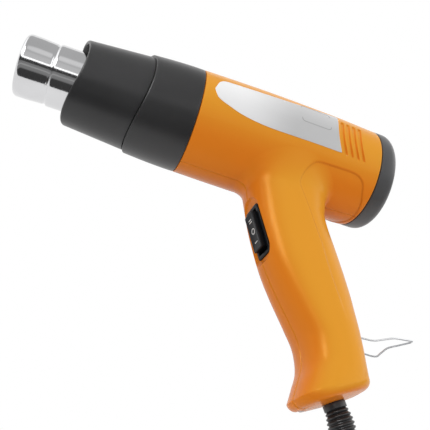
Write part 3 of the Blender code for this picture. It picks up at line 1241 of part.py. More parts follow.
def rounded_rectangle(left, right, low, high, corner, steps=3):
    """Outline of a rectangle with round corners, as (u, v) points."""
    outline = []
    middles = ((right - corner, high - corner, 0.0), (left + corner, high - corner, 90.0),
               (left + corner, low + corner, 180.0), (right - corner, low + corner, 270.0))
    for u, v, start in middles:
        for k in range(steps + 1):
            angle = math.radians(start + 90.0 * k / steps)
            outline.append((u + corner * math.cos(angle), v + corner * math.sin(angle)))
    return outline


def make_cord(tool):
    """Free cord on the bench: the stretch from the relief, the coil, its tie and the plug."""
    frame = tool.matrix_world
    place, heading = relief_path(GAP + RELIEF_COLLAR_LENGTH + RELIEF_TAIL_LENGTH)
    tip = frame @ (Vector((RELIEF_CENTRE[0], 0.0, RELIEF_CENTRE[1])) + place)
    ahead = (frame.to_3x3() @ heading).normalized()
    loops = coil_points()
    gap = least_self_gap(loops)
    print("least gap between the coil's turns: %.2f mm" % (gap * 1000.0))
    end = Vector(loops[0])
    into = Vector((0.0, -1.0, 0.0))
    start = tip + ahead * GAP
    knots = [start, start + ahead * (2.0 * CORD_RADIUS)] + [Vector(p) for p in CORD_ROUTE]
    knots += [end - into * (2.0 * CORD_RADIUS + GAP), end - into * GAP]
    tube_curve("power_cord", smooth_path(knots, CORD_POINTS), CORD_RADIUS, RUBBER, None, 2)
    tube_curve("cord_coil", loops, CORD_RADIUS, RUBBER, None, 1)
    span = LOOPS_PER_LAYER * LOOP_PITCH
    inner = COIL_MEAN_RADIUS - span / 2.0 + LOOP_PITCH / 2.0 - CORD_RADIUS - 2.0 * GAP
    outer = COIL_MEAN_RADIUS + span / 2.0 - LOOP_PITCH / 2.0 + CORD_RADIUS + 2.0 * GAP
    top = 2.0 * (CORD_RADIUS + GAP) + LOOP_PITCH + TIE_THICKNESS + GAP
    wall = TIE_THICKNESS
    hole = rounded_rectangle(-outer, -inner, wall, top, TIE_CORNER)
    skin = rounded_rectangle(-outer - wall, -inner + wall, 0.0, top + wall, TIE_CORNER + wall)
    count = len(hole)
    verts = []
    for y in (-TIE_WIDTH / 2.0, TIE_WIDTH / 2.0):
        for outline in (skin, hole):
            verts += [(COIL_CENTRE[0] + u, COIL_CENTRE[1] + y, v) for u, v in outline]
    faces = []
    for i in range(count):
        j = (i + 1) % count
        faces.append((i, j, 2 * count + j, 2 * count + i))
        faces.append((count + i, 3 * count + i, 3 * count + j, count + j))
        faces.append((i, count + i, count + j, j))
        faces.append((2 * count + i, 2 * count + j, 3 * count + j, 3 * count + i))
    add_object("cord_tie", (verts, faces), BLACK, None)
    make_plug(Vector(loops[-1]) + into * GAP, into)


def make_plug(start, into):
    """Two pin plug without earth, on its flat side."""
    wide, high = (side / 2.0 for side in PLUG_BODY)
    neck = PLUG_NECK_RADIUS
    taper = PLUG_LENGTH - PLUG_FACE_LENGTH
    sections = ((0.0, neck, neck, 2.0), (taper * 0.35, neck * 1.15, neck * 1.1, 2.0),
                (taper * 0.7, wide * 0.72, high * 0.70, 2.4), (taper, wide * 0.97, high * 0.97, 3.0),
                (taper + 0.002, wide, high, 3.2), (PLUG_LENGTH - 0.0015, wide, high, 3.2),
                (PLUG_LENGTH, wide - 0.0012, high - 0.0012, 3.2))
    rings = []
    count = 20
    for x, half_wide, half_high, power in sections:
        points = []
        for i in range(count):
            angle = 2.0 * math.pi * (i + 0.5) / count
            c = math.cos(angle)
            s = math.sin(angle)
            points.append((x, math.copysign(abs(c) ** (2.0 / power), c) * half_wide,
                           math.copysign(abs(s) ** (2.0 / power), s) * half_high))
        rings.append(points)
    sideways = (1.0, 0.0, 0.0)
    body = add_object("plug_body", aim(loft(rings), tuple(start), into, sideways), RUBBER, None)
    holes = []
    for i, side in enumerate((-1.0, 1.0)):
        root = start + into * (PLUG_LENGTH - PIN_ROOT) + Vector((side * PIN_SPACING / 2.0, 0.0, 0.0))
        pin = turned([(GAP, 0.0), (GAP, PIN_RADIUS), (PIN_ROOT + PIN_LENGTH - 0.0012, PIN_RADIUS),
                      (PIN_ROOT + PIN_LENGTH, PIN_RADIUS * 0.55), (PIN_ROOT + PIN_LENGTH, 0.0)], 10)
        add_object("plug_pin_%d" % (i + 1), aim(pin, tuple(root), into, sideways), BRASS, None)
        holes.append(aim(rod(0.0, PIN_ROOT + 0.002, PIN_RADIUS + GAP, 12), tuple(root), into, sideways))
    combine(body, add_cutter("pin_holes", merge_shapes(holes), None), "DIFFERENCE")


def lay_down(tool):
    """Lay the tool on its right side, so that collar, cap rim and handle end touch the bench.

    With the collar's rim radius Rc and the cap's Rk a length L further back, the barrel's axis pitches by
    atan((Rc - Rk) / L). The roll a then makes the handle end, W out and D down, touch the same plane:
    W cos a + D sin a = Rc - L' tan(pitch), with L' from the collar's rim to the handle's end.
    """
    pitch = math.atan((BARREL_FRONT_RADIUS - BARREL_REAR_RADIUS) / (BARREL_REAR - BARREL_FRONT))
    front, back, half_width = HANDLE_SECTIONS[-2]
    behind = (front[0] + back[0]) / 2.0 - BARREL_FRONT
    depth = -(front[1] + back[1]) / 2.0
    reach = math.hypot(half_width, depth)
    rim = BARREL_FRONT_RADIUS - behind * math.tan(pitch)
    roll = math.asin(rim / reach) - math.atan2(half_width, depth)
    tool.rotation_euler = (roll - math.pi / 2.0, pitch, 0.0)


def place_on_bench(tool):
    """Shift the tool so that its box stands on Z = 0 with its middle over the origin."""
    bpy.context.view_layer.update()
    graph = bpy.context.evaluated_depsgraph_get()
    corners = []
    for piece in bpy.data.objects:
        if piece.type in ("MESH", "CURVE") and not piece.hide_render:
            solid = piece.evaluated_get(graph)
            mesh = solid.to_mesh()
            corners += [solid.matrix_world @ v.co for v in mesh.vertices]
            solid.to_mesh_clear()
    box = np.array([tuple(c) for c in corners])
    low = box.min(axis=0)
    high = box.max(axis=0)
    tool.location = (-(low[0] + high[0]) / 2.0, -(low[1] + high[1]) / 2.0, -low[2])
    bpy.context.view_layer.update()


def main():
    clear_scene()
    tool = bpy.data.objects.new("tool", None)
    bpy.context.scene.collection.objects.link(tool)
    lay_down(tool)
    rotor = bpy.data.objects.new("rotor_axis", None)
    rocker = bpy.data.objects.new("rocker_axis", None)
    stand = bpy.data.objects.new("stand_axis", None)
    for empty in (rotor, rocker, stand):
        bpy.context.scene.collection.objects.link(empty)
        empty.parent = tool
    rocker.location = ROCKER_AXIS
    stand.location = (WIRE_PIVOT[0], 0.0, WIRE_PIVOT[1])
    make_nozzle(tool)
    make_guard(tool)
    make_collar(tool)
    make_heater(tool)
    make_duct(tool)
    make_motor(tool, rotor)
    make_board(tool)
    make_housing(tool)
    make_cap(tool)
    make_switch(tool, rocker)
    make_stand(stand)
    make_relief(tool)
    make_leads(tool)
    place_on_bench(tool)
    make_cord(tool)


main()
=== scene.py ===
"""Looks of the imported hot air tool: its own frame is in millimetres, X from the nozzle's mouth to the rear,
Y to the tool's right and Z to the top of the barrel. The bench is Z = 0 of the world."""
import json
import math

import bmesh
import bpy
import numpy as np
from mathutils import Matrix, Vector


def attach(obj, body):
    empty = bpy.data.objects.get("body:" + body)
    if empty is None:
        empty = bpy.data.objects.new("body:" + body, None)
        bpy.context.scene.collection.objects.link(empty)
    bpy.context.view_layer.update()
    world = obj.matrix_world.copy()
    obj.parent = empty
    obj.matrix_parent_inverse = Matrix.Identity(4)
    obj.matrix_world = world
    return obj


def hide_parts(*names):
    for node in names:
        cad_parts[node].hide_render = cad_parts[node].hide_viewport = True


bl_info = {
    "name": "Hot air tool",
    "version": (1, 0, 0),
    "blender": (4, 5, 0),
    "location": "View3D > Sidebar > Hot air tool",
    "description": "Dresses the packed hot air tool with finished surfaces and materials",
    "category": "Object",
}

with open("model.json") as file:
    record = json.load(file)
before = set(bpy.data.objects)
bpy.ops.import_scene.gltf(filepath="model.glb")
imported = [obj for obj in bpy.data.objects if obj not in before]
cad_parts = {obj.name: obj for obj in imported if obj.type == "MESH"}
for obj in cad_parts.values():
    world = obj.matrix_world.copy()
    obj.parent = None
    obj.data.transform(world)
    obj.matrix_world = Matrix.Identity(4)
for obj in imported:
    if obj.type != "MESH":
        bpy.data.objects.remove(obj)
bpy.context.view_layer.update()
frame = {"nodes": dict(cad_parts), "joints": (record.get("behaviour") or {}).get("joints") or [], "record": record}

# ---------------------------------------------------------------- camera, solved from the photograph
# Place in millimetres and unit directions, in the tool's frame
CAMERA_EYE = (51.19, -267.25, -256.49)
CAMERA_RIGHT = (0.931495, -0.346362, 0.111136)
CAMERA_DOWN = (0.285811, 0.507912, -0.812612)
CAMERA_AHEAD = (0.225011, 0.788707, 0.572111)
LAMP_TINT = (1.0, 0.98, 0.95)
# Share of the floor's white that gloss rays see
FLOOR_GLOSS = 0.88

# ---------------------------------------------------------------- shared measures, in millimetres
GAP = 0.3
PARTING = 0.1
CORD_RADIUS = 3.5
BARREL_START, BARREL_END = 102.0, 219.7
CAP_START, CAP_END = 220.3, 232.0
VENT_FIRST, VENT_PITCH, VENT_WIDTH, VENT_DEPTH = 191.4, 4.1, 2.3, 1.05
VENT_TOP, VENT_BOTTOM = 12.0, -13.6
VENT_LEVEL, VENT_BOW_UP, VENT_BOW_DOWN = 2.0, 0.009, 0.0165
SWELL = 1.55
BARREL_FRONT_RADIUS, BARREL_REAR_RADIUS, BARREL_BORE = 32.5, 31.3, 28.9
# Depth of the step down to the grip panel
PANEL_STEP = 0.45
# Nozzle's difference from its drawn profile: lip further forward, all wider, mouth wider still
NOZZLE_FORWARD, NOZZLE_WIDER, NOZZLE_FLARE = 1.3, 0.8, 0.45
GUARD_FRONT, GUARD_REAR, GUARD_WALL = 31.5, 69.4, 2.4
GUARD_FRONT_RADIUS, GUARD_REAR_RADIUS = 26.1, 29.5
# How far the guard's front edge and the collar's front edge sway along X
GUARD_SWAY, COLLAR_SWAY = 2.6, 2.7
CAP_EDGE, CAP_WALL, CAP_LEAN = 5.9, 2.4, 0.040
RECESS_OUTLINE = (
    (219.5, -34.5), (218.2, -32.5), (216.2, -30.0), (213.4, -26.8), (210.8, -23.2), (204.8, -20.8),
    (192.0, -20.8), (180.5, -21.3), (176.5, -23.0), (173.4, -26.8), (171.4, -31.0), (170.6, -35.5),
    (171.8, -39.5), (177.2, -50.5), (182.5, -63.0), (187.0, -74.5), (191.0, -87.5), (196.5, -102.0),
    (200.8, -114.0), (203.5, -124.0),
)
# Handle's outline in the parting plane: front X and Z, back X and Z, half width
HANDLE_SECTIONS = (
    (144.9, -40.0, 194.6, -37.5, 19.7),
    (147.3, -50.0, 194.1, -46.8, 19.2),
    (149.2, -58.0, 196.7, -56.5, 18.8),
    (152.9, -70.0, 201.6, -69.0, 18.5),
    (158.9, -86.0, 207.6, -86.0, 18.5),
    (166.2, -100.0, 212.0, -101.0, 18.5),
    (175.5, -115.0, 215.2, -117.0, 18.5),
    (182.0, -126.5, 216.9, -127.0, 18.6),
    (184.4, -139.0, 217.8, -133.0, 18.8),
    (182.3, -149.5, 218.8, -137.0, 19.0),
    (180.1, -158.0, 219.8, -140.0, 18.8),
)
HANDLE_POWER = 2.6
HANDLE_END_RADIUS = 5.0
HANDLE_CROWN = 1.0
SWITCH_RAKE = math.radians(20.8)
SWITCH_OUT = np.array((-math.cos(SWITCH_RAKE), 0.0, -math.sin(SWITCH_RAKE)))
SWITCH_DOWN = np.array((math.sin(SWITCH_RAKE), 0.0, -math.cos(SWITCH_RAKE)))
SWITCH_ACROSS = np.array((0.0, 1.0, 0.0))
SWITCH_SEAT = np.array((155.0, 0.0, -65.0))
# Half sizes across and down: hole in the handle with its depth first, bezel, rocker; rocker's height
SWITCH_HOLE = (9.0, 6.4, 14.2)
BEZEL_HALF = (7.6, 15.4)
ROCKER_HALF = (4.9, 11.5)
ROCKER_HEIGHT = 3.7
RELIEF_CENTRE = np.array((201.0, 0.0, -155.6))
END_RAKE = math.radians(25.0)
HANDLE_AXIS = np.array((math.sin(END_RAKE), 0.0, -math.cos(END_RAKE)))
RELIEF_COLLAR_END = 3.7
RELIEF_RIBS = 16
RELIEF_TAIL = 34.0
RELIEF_DROOP = math.radians(14.0)
RELIEF_SHIFT = np.array((2.4, 0.0, 1.1))
# Cord's route on the bench, in metres of the world, and its coil
CORD_ROUTE = ((0.0995, -0.1320, 0.0060), (0.1055, -0.1520, 0.0043), (0.1100, -0.1770, 0.0039))
COIL_CENTRE = (0.0600, -0.2200)
COIL_MEAN_RADIUS = 0.0400
COIL_LAYERS = 2
LOOPS_PER_LAYER = 3
LOOP_PITCH = 0.0077
TIE_THICKNESS = 0.0007
PLUG_TAIL = 0.0250
PLUG_HIGH = 0.0260
HOUSING_SCREWS = ((184.0, -47.0), (193.0, -80.0), (187.0, -112.0), (212.0, -134.0), (188.0, -157.5))
SCREW_HOLE_RADIUS = 3.2
WIRE_PIVOT = (212.0, -118.8)
STAND_HOLE = (10.0, 7.4, 4.5)
# Stand's wire in the tool's frame: the left leg from the pivot to the tip, then back along the right leg
WIRE_LINE = (
    (212.0, -8.8, -118.8), (212.0, -7.0, -118.8), (212.8, -5.9, -118.5), (216.4, -5.8, -117.2),
    (224.7, -5.5, -116.5), (231.5, -4.4, -113.9), (239.9, -3.0, -110.4), (247.5, -1.7, -108.8),
    (253.2, -0.9, -107.9), (254.0, 0.0, -107.8), (252.9, 0.9, -108.4), (246.4, 2.0, -111.2),
    (239.9, 3.0, -114.0), (236.1, 4.2, -117.4), (232.9, 5.2, -120.1), (225.5, 5.7, -120.0),
    (218.5, 5.8, -119.4), (212.8, 5.9, -118.9), (212.0, 7.0, -118.8), (212.0, 8.8, -118.8),
)
# Label: its outline as (x, degrees round the barrel), the radius that its arcs are measured at, and its frame
LABEL_LOWER = ((108.3, -1.2), (110.1, -7.8), (113.6, -11.9), (118.7, -15.2), (124.5, -18.6), (131.6, -21.1),
               (139.0, -22.6), (147.8, -23.3), (160.0, -23.2), (175.0, -22.9), (190.8, -23.0))
LABEL_UPPER = ((108.3, 3.0), (109.6, 10.5), (111.6, 16.0), (114.6, 18.9), (122.0, 19.8), (130.0, 20.4),
               (146.0, 22.0), (163.0, 24.6), (177.6, 28.0), (189.3, 31.0))
LABEL_RADIUS = 32.0
LABEL_FRAME_PLACE, LABEL_FRAME_HALF = (173.6, 6.6), (10.0, 7.6)


def tool_matrix():
    """Place of the tool's own frame in the world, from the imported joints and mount."""
    joints = {joint["name"]: joint for joint in frame["joints"]}
    along = Vector(joints["motor_spin"]["axis"]).normalized()
    right = Vector(joints["rocker_tilt"]["axis"]).normalized()
    upward = along.cross(right).normalized()
    rear = Vector(frame["record"]["mounts"][0]["pos_m"])
    origin = rear - along * (CAP_END / 1000.0)
    turn = Matrix((along, right, upward)).transposed().to_4x4()
    return Matrix.Translation(origin) @ turn


TOOL = tool_matrix()


def to_world(points):
    """Points of the tool's frame, in millimetres, as world points in metres."""
    turn = np.array(TOOL.to_3x3())
    origin = np.array(TOOL.translation)
    return np.asarray(points, float).reshape(-1, 3) @ turn.T / 1000.0 + origin


# ---------------------------------------------------------------- numbers and curves
def ease(t):
    """Smooth step: 3t^2 - 2t^3 on t held between 0 and 1."""
    t = np.clip(t, 0.0, 1.0)
    return t * t * (3.0 - 2.0 * t)


def spread(start, end, coarse, windows=()):
    """Numbers from start to end, coarse apart, or closer inside each window (low, high, step)."""
    dense = np.linspace(start, end, 20001)
    step = np.full(dense.shape, float(coarse))
    for low, high, fine in windows:
        inside = (dense >= low) & (dense <= high)
        step = np.where(inside, np.minimum(step, fine), step)
    count = np.concatenate([[0.0], np.cumsum(np.diff(dense) / step[1:])])
    return np.interp(np.linspace(0.0, count[-1], int(math.ceil(count[-1])) + 1), count, dense)


def catmull(knots, per_span=24):
    """Points on the Catmull-Rom curve through knots of any dimension."""
    pts = np.asarray(knots, float)
    padded = np.vstack([2 * pts[0] - pts[1], pts, 2 * pts[-1] - pts[-2]])
    t = np.linspace(0.0, 1.0, per_span, endpoint=False)[:, None, None]
    a, b, c, d = padded[:-3], padded[1:-2], padded[2:-1], padded[3:]
    spans = 0.5 * (2 * b + (c - a) * t + (2 * a - 5 * b + 4 * c - d) * t ** 2
                   + (3 * b - a - 3 * c + d) * t ** 3)
    return np.vstack([spans.transpose(1, 0, 2).reshape(-1, pts.shape[1]), pts[-1:]])


def even(points, count):
    """The same line with count points spread evenly by length."""
    steps = np.concatenate([[0.0], np.cumsum(np.linalg.norm(np.diff(points, axis=0), axis=1))])
    wanted = np.linspace(0.0, steps[-1], count)
    return np.stack([np.interp(wanted, steps, points[:, k]) for k in range(points.shape[1])], axis=1)


def unit(vectors):
    """Vectors at length one."""
    return vectors / np.maximum(np.linalg.norm(vectors, axis=-1, keepdims=True), 1e-12)


def grid_normals(grid):
    """Normals of a grid of points, as the cross product of its two directions."""
    return unit(np.cross(np.gradient(grid, axis=0), np.gradient(grid, axis=1)))


def rounded_loop(half_u, half_v, corner, steps=6):
    """Rectangle with round corners as (count, 2) points, u to v."""
    angles = np.linspace(0.0, math.pi / 2.0, steps + 1)
    parts = []
    for k, (su, sv) in enumerate(((1, 1), (-1, 1), (-1, -1), (1, -1))):
        turn = angles + k * math.pi / 2.0
        parts.append(np.stack([su * (half_u - corner) + corner * np.cos(turn),
                               sv * (half_v - corner) + corner * np.sin(turn)], axis=1))
    return np.vstack(parts)


def path_frames(path):
    """Tangent, normal and binormal along a line of points, carried without twist."""
    tangent = unit(np.gradient(path, axis=0))
    normal = np.zeros_like(path)
    start = np.cross(tangent[0], (0.0, 0.0, 1.0))
    if np.linalg.norm(start) < 1e-3:
        start = np.cross(tangent[0], (0.0, 1.0, 0.0))
    normal[0] = start / np.linalg.norm(start)
    for i in range(1, len(path)):
        carried = normal[i - 1] - tangent[i] * np.dot(normal[i - 1], tangent[i])
        normal[i] = carried / np.linalg.norm(carried)
    return tangent, normal, np.cross(tangent, normal)


# ---------------------------------------------------------------- meshes
class Skin:
    """Grids of points, in the tool's frame in millimetres, that become one closed mesh."""

    def __init__(self):
        self.points = []
        self.faces = []
        self.count = 0

    def numbered(self, grid):
        """Store a grid's points and return their numbers in the grid's shape."""
        rows, cols = grid.shape[:2]
        numbers = self.count + np.arange(rows * cols).reshape(rows, cols)
        self.points.append(np.asarray(grid, float).reshape(-1, 3))
        self.count += rows * cols
        return numbers

    def stitch(self, numbers):
        """Quads between neighbouring rows and columns of point numbers."""
        quads = np.stack([numbers[:-1, :-1], numbers[1:, :-1], numbers[1:, 1:], numbers[:-1, 1:]], axis=-1)
        self.faces.extend(quads.reshape(-1, 4).tolist())

    def tube(self, grid, closed=False):
        """A grid whose columns go round. Closed joins its last row to its first, else its ends get a fan."""
        numbers = self.numbered(grid)
        numbers = np.hstack([numbers, numbers[:, :1]])
        if closed:
            numbers = np.vstack([numbers, numbers[:1]])
        self.stitch(numbers)
        if not closed:
            for row, source in ((numbers[0], grid[0]), (numbers[-1], grid[-1])):
                middle = self.numbered(source.mean(axis=0)[None, None, :])[0, 0]
                self.faces.extend([(int(a), int(b), int(middle)) for a, b in zip(row[:-1], row[1:])])
        return self

    def shell(self, outer, inner):
        """Two grids of one shape joined all round their borders."""
        first = self.numbered(outer)
        second = self.numbered(inner)
        self.stitch(first)
        self.stitch(second[:, ::-1])
        rims = [np.concatenate([n[0, :], n[1:, -1], n[-1, -2::-1], n[-2:0:-1, 0], n[:1, 0]])
                for n in (first, second)]
        self.stitch(np.stack(rims))
        return self

    def mesh(self, name, world=False):
        """The collected surface as a Blender mesh with welded seams and outward normals."""
        points = np.vstack(self.points)
        points = points if world else to_world(points)
        mesh = bpy.data.meshes.new(name)
        mesh.from_pydata(points.tolist(), [], self.faces)
        work = bmesh.new()
        work.from_mesh(mesh)
        bmesh.ops.remove_doubles(work, verts=work.verts, dist=2e-6)
        bmesh.ops.dissolve_degenerate(work, edges=work.edges, dist=1e-7)
        bmesh.ops.recalc_face_normals(work, faces=work.faces)
        work.to_mesh(mesh)
        work.free()
        return mesh


def place(mesh, name, look, body, nodes, sharp):
    """Link a finished mesh as a piece that rides on a body and stands for CAD nodes."""
    piece = bpy.data.objects.new(name, mesh)
    bpy.context.scene.collection.objects.link(piece)
    mesh.materials.clear()
    mesh.materials.append(MATERIALS[look])
    mesh.shade_smooth()
    mesh.set_sharp_from_angle(angle=math.radians(sharp))
    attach(piece, body)
    if nodes:
        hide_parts(*nodes)
    return piece


def place_tube(rings, name, look, body, nodes, sharp=40.0, closed=False, world=False):
    """Make and place one tube of rings."""
    mesh = Skin().tube(np.array(rings), closed=closed).mesh(name, world=world)
    return place(mesh, name, look, body, nodes, sharp)


def turned(profile, count, wave=None):
    """Rings of a profile of (x, radius) about X; wave adds wave * cos(2 angle) to x at each profile point."""
    profile = np.asarray(profile, float)
    sway = np.zeros(len(profile)) if wave is None else np.asarray(wave, float)
    angle = np.linspace(0.0, 2.0 * math.pi, count, endpoint=False)
    x = profile[:, :1] + sway[:, None] * np.cos(2.0 * angle)[None, :]
    y = profile[:, 1:] * np.cos(angle)[None, :]
    z = profile[:, 1:] * np.sin(angle)[None, :]
    return np.stack([x, y, z], axis=-1)


def swept(path, radii, sides):
    """Rings of the given radii round a path."""
    tangent, normal, binormal = path_frames(path)
    angle = np.linspace(0.0, 2.0 * math.pi, sides, endpoint=False)
    radii = np.broadcast_to(np.asarray(radii, float), (len(path),))
    spokes = (normal[:, None, :] * np.cos(angle)[None, :, None]
              + binormal[:, None, :] * np.sin(angle)[None, :, None])
    return path[:, None, :] + spokes * radii[:, None, None]


def rounded_ends(path, radius, steps):
    """The path and radii of a rod with domed ends."""
    head = unit(path[0] - path[1])
    tail = unit(path[-1] - path[-2])
    angle = np.linspace(math.pi / 2.0, 0.0, steps + 1)[:-1]
    dome_start = [path[0] - head * radius * (1.0 - math.sin(a)) for a in angle]
    dome_end = [path[-1] - tail * radius * (1.0 - math.sin(a)) for a in angle]
    low = [radius * math.cos(a) for a in angle]
    points = np.vstack([dome_start, path[1:-1], dome_end[::-1]])
    radii = np.array(low + [radius] * (len(path) - 2) + low[::-1])
    radii[0] = radii[-1] = radius * 0.05
    return points, radii


def applied(piece, cutters):
    """Cut a list of meshes out of a mesh and return the new mesh."""
    base = bpy.data.objects.new("work_piece", piece)
    bpy.context.scene.collection.objects.link(base)
    helpers = []
    for i, cutter in enumerate(cutters):
        helper = bpy.data.objects.new("work_cutter_%d" % i, cutter)
        bpy.context.scene.collection.objects.link(helper)
        helpers.append(helper)
        modifier = base.modifiers.new("cut_%d" % i, "BOOLEAN")
        modifier.operation = "DIFFERENCE"
        modifier.solver = "EXACT"
        modifier.object = helper
    bpy.context.view_layer.update()
    done = base.evaluated_get(bpy.context.evaluated_depsgraph_get())
    result = bpy.data.meshes.new_from_object(done)
    for item in helpers + [base]:
        data = item.data
        bpy.data.objects.remove(item, do_unlink=True)
        bpy.data.meshes.remove(data)
    if not result.polygons:
        raise RuntimeError("a cut left nothing of its piece")
    return result


def joined(meshes, name):
    """Several meshes as one."""
    work = bmesh.new()
    for mesh in meshes:
        work.from_mesh(mesh)
    result = bpy.data.meshes.new(name)
    work.to_mesh(result)
    work.free()
    for mesh in meshes:
        bpy.data.meshes.remove(mesh)
    return result


def box_mesh(centre, axes, halves):
    """A closed box with its middle, three unit axes and half sizes, in the tool's frame."""
    skin = Skin()
    loop = np.array(((-1, -1), (1, -1), (1, 1), (-1, 1)), float)
    rows = []
    for side in (-1.0, 1.0):
        face = np.asarray(centre) + axes[0] * halves[0] * side
        rows.append([face + axes[1] * halves[1] * u + axes[2] * halves[2] * v for u, v in loop])
    skin.tube(np.array(rows))
    return skin.mesh("box")


def rod_mesh(start, end, radius, sides=40):
    """A closed cylinder between two points of the tool's frame."""
    path = np.array([start, end], float)
    return Skin().tube(swept(path, radius, sides)).mesh("rod")


# ---------------------------------------------------------------- shader nodes
class Tree:
    """A node tree with one method that adds nodes."""

    def __init__(self, tree):
        self.tree = tree
        tree.nodes.clear()

    def add(self, kind, inputs=None, **settings):
        """Add a node, set its properties, then fill or link its inputs."""
        node = self.tree.nodes.new(kind)
        for key, value in settings.items():
            setattr(node, key, value)
        for key, value in (inputs or {}).items():
            self.feed(value, node.inputs[key])
        return node

    def feed(self, value, socket):
        """Link a Number or a socket to an input, or set the input to a plain value."""
        value = value.socket if isinstance(value, Number) else value
        if isinstance(value, bpy.types.NodeSocket):
            self.tree.links.new(value, socket)
        else:
            socket.default_value = value

    def number(self, socket):
        """A socket as a Number."""
        return Number(self, socket)

    def coordinates(self):
        """Object coordinates of the piece, in metres."""
        return self.add("ShaderNodeTexCoord").outputs["Object"]

    def noise(self, scale, detail=3.0, roughness=0.55, vector=None):
        """Fractal noise between 0 and 1."""
        node = self.add("ShaderNodeTexNoise", {"Vector": vector or self.coordinates(), "Scale": scale,
                                               "Detail": detail, "Roughness": roughness})
        return self.number(node.outputs["Fac"])

    def mix(self, factor, first, second):
        """Two colours mixed by a factor."""
        return self.add("ShaderNodeMix", {0: factor, 6: first, 7: second}, data_type="RGBA").outputs[2]

    def bump(self, height, distance, strength=1.0, normal=None):
        """A bump normal from a height."""
        inputs = {"Height": height, "Distance": distance, "Strength": strength}
        if normal is not None:
            inputs["Normal"] = normal
        return self.add("ShaderNodeBump", inputs).outputs["Normal"]


class Number:
    """A number of a node tree that Python's operators work on."""

    def __init__(self, tree, socket):
        self.tree = tree
        self.socket = socket

    def _math(self, operation, first, second):
        node = self.tree.add("ShaderNodeMath", {0: first, 1: second}, operation=operation)
        return Number(self.tree, node.outputs[0])

    def __add__(self, other):
        return self._math("ADD", self, other)

    __radd__ = __add__

    def __sub__(self, other):
        return self._math("SUBTRACT", self, other)

    def __rsub__(self, other):
        return self._math("SUBTRACT", other, self)

    def __mul__(self, other):
        return self._math("MULTIPLY", self, other)

    __rmul__ = __mul__

    def step(self, low, high):
        """0 below low, 1 above high, and a smooth step between."""
        node = self.tree.add("ShaderNodeMapRange", {"Value": self, "From Min": low, "From Max": high},
                             interpolation_type="SMOOTHSTEP")
        return Number(self.tree, node.outputs["Result"])


def colour(values):
    """An RGBA tuple from an RGB one."""
    return (*values, 1.0)


def principled(name, roughness=0.5, metallic=0.0, **constants):
    """A new material with its node tree, shader and output; constants are socket names with underscores."""
    made = bpy.data.materials.new(name)
    made.use_nodes = True
    tree = Tree(made.node_tree)
    shader = tree.add("ShaderNodeBsdfPrincipled", {"Roughness": roughness, "Metallic": metallic})
    for key, value in constants.items():
        shader.inputs[key.replace("_", " ")].default_value = value
    tree.add("ShaderNodeOutputMaterial", {"Surface": shader.outputs["BSDF"]})
    return made, tree, shader


def dress(tree, shader, base, roughness, normal):
    """Feed a shader's colour, roughness and normal."""
    for name, value in (("Base Color", base), ("Roughness", roughness), ("Normal", normal)):
        tree.feed(value, shader.inputs[name])


def orange_plastic(looks):
    """Orange plastic with painted shade: lighter where it faces left, up and rear, darker where it faces right,
    down and front, faint mottle, scored line round the grip.
    """
    made, tree, shader = principled("orange_plastic", 0.30, 0.0, Coat_Weight=0.02, Coat_Roughness=0.15,
                                    Specular_IOR_Level=0.16, Specular_Tint=(0.85, 1.0, 0.42, 1.0))
    flow = tree.noise(28.0, 2.0)
    line = tree.number(tree.add("ShaderNodeAttribute", attribute_name="line").outputs["Fac"])
    groove = 1.0 - line.step(0.05, 0.55)
    tone_and_painted_shade = tree.number(tree.add("ShaderNodeAttribute", attribute_name="tone_and_painted_shade").outputs["Fac"])
    # Painted shade: the colour runs from the deep orange to the plain orange as the surface turns towards a fixed
    # light in the tool's frame, with a little random mottle.
    base = tree.mix(tone_and_painted_shade * 0.94 + flow * 0.06, colour(looks.orange_painted_shade), colour(looks.orange))
    base = tree.mix(groove * 0.28, base, colour(looks.orange_line))
    skin = tree.bump(tree.noise(2600.0, 2.0), 0.00002, 0.25)
    dress(tree, shader, base, 0.21 + flow * 0.07, tree.bump(1.0 - groove, 0.0002, 0.55, skin))
    return made


def grained(name, first, second, roughness, metallic=0.0, scale=900.0, bump=0.00003, cloud=25.0, **constants):
    """A surface of two close colours in soft clouds with a fine grain in roughness and relief."""
    made, tree, shader = principled(name, roughness, metallic, **constants)
    cloud = tree.noise(cloud, 3.0)
    grain = tree.noise(scale, 2.0)
    dress(tree, shader, tree.mix(cloud.step(0.3, 0.7), colour(first), colour(second)),
          roughness * 0.85 + grain * (roughness * 0.3), tree.bump(grain, bump, 0.6))
    return made


def foil(looks):
    """Silver foil with painted shade: lightest at the tip, darker to the rear and below, with a fine brushed grain
    along X.
    """
    made, tree, shader = principled("label", 0.34, 0.15, Coat_Weight=0.3, Coat_Roughness=0.2)
    spot = tree.add("ShaderNodeSeparateXYZ", {"Vector": tree.coordinates()}).outputs
    along = tree.number(spot["X"])
    across = tree.number(spot["Y"])
    # Painted shade: the foil's colour darkens from the tip to the rear and towards its lower edge.
    shade = along.step(-0.005, 0.040) * 0.75 + 0.25 * (1.0 - across.step(0.070, 0.092))
    mapping = tree.add("ShaderNodeMapping", {"Vector": tree.coordinates(), "Scale": (60.0, 2400.0, 2400.0)})
    grain = tree.noise(1.0, 2.0, vector=mapping.outputs["Vector"])
    foil_painted_shade = tuple(v * 0.54 for v in looks.label)
    dress(tree, shader, tree.mix(shade + 0.06 * grain, colour(looks.label), colour(foil_painted_shade)),
          0.30 + grain * 0.1, tree.bump(grain, 0.000004, 0.4))
    return made


def brushed(name, first, second, roughness, axis, scale=900.0, metallic=1.0):
    """Metal with fine lines across an axis of the world, and slight stains."""
    made, tree, shader = principled(name, roughness, metallic)
    stretch = [scale * 0.04] * 3
    stretch[axis] = scale
    mapping = tree.add("ShaderNodeMapping", {"Vector": tree.coordinates(), "Scale": stretch})
    lines = tree.noise(1.0, 2.0, vector=mapping.outputs["Vector"])
    stain = tree.noise(30.0, 3.0)
    dress(tree, shader, tree.mix(stain.step(0.3, 0.75), colour(first), colour(second)),
          roughness * 0.8 + lines * (roughness * 0.5), tree.bump(lines, 0.000006, 0.5))
    return made


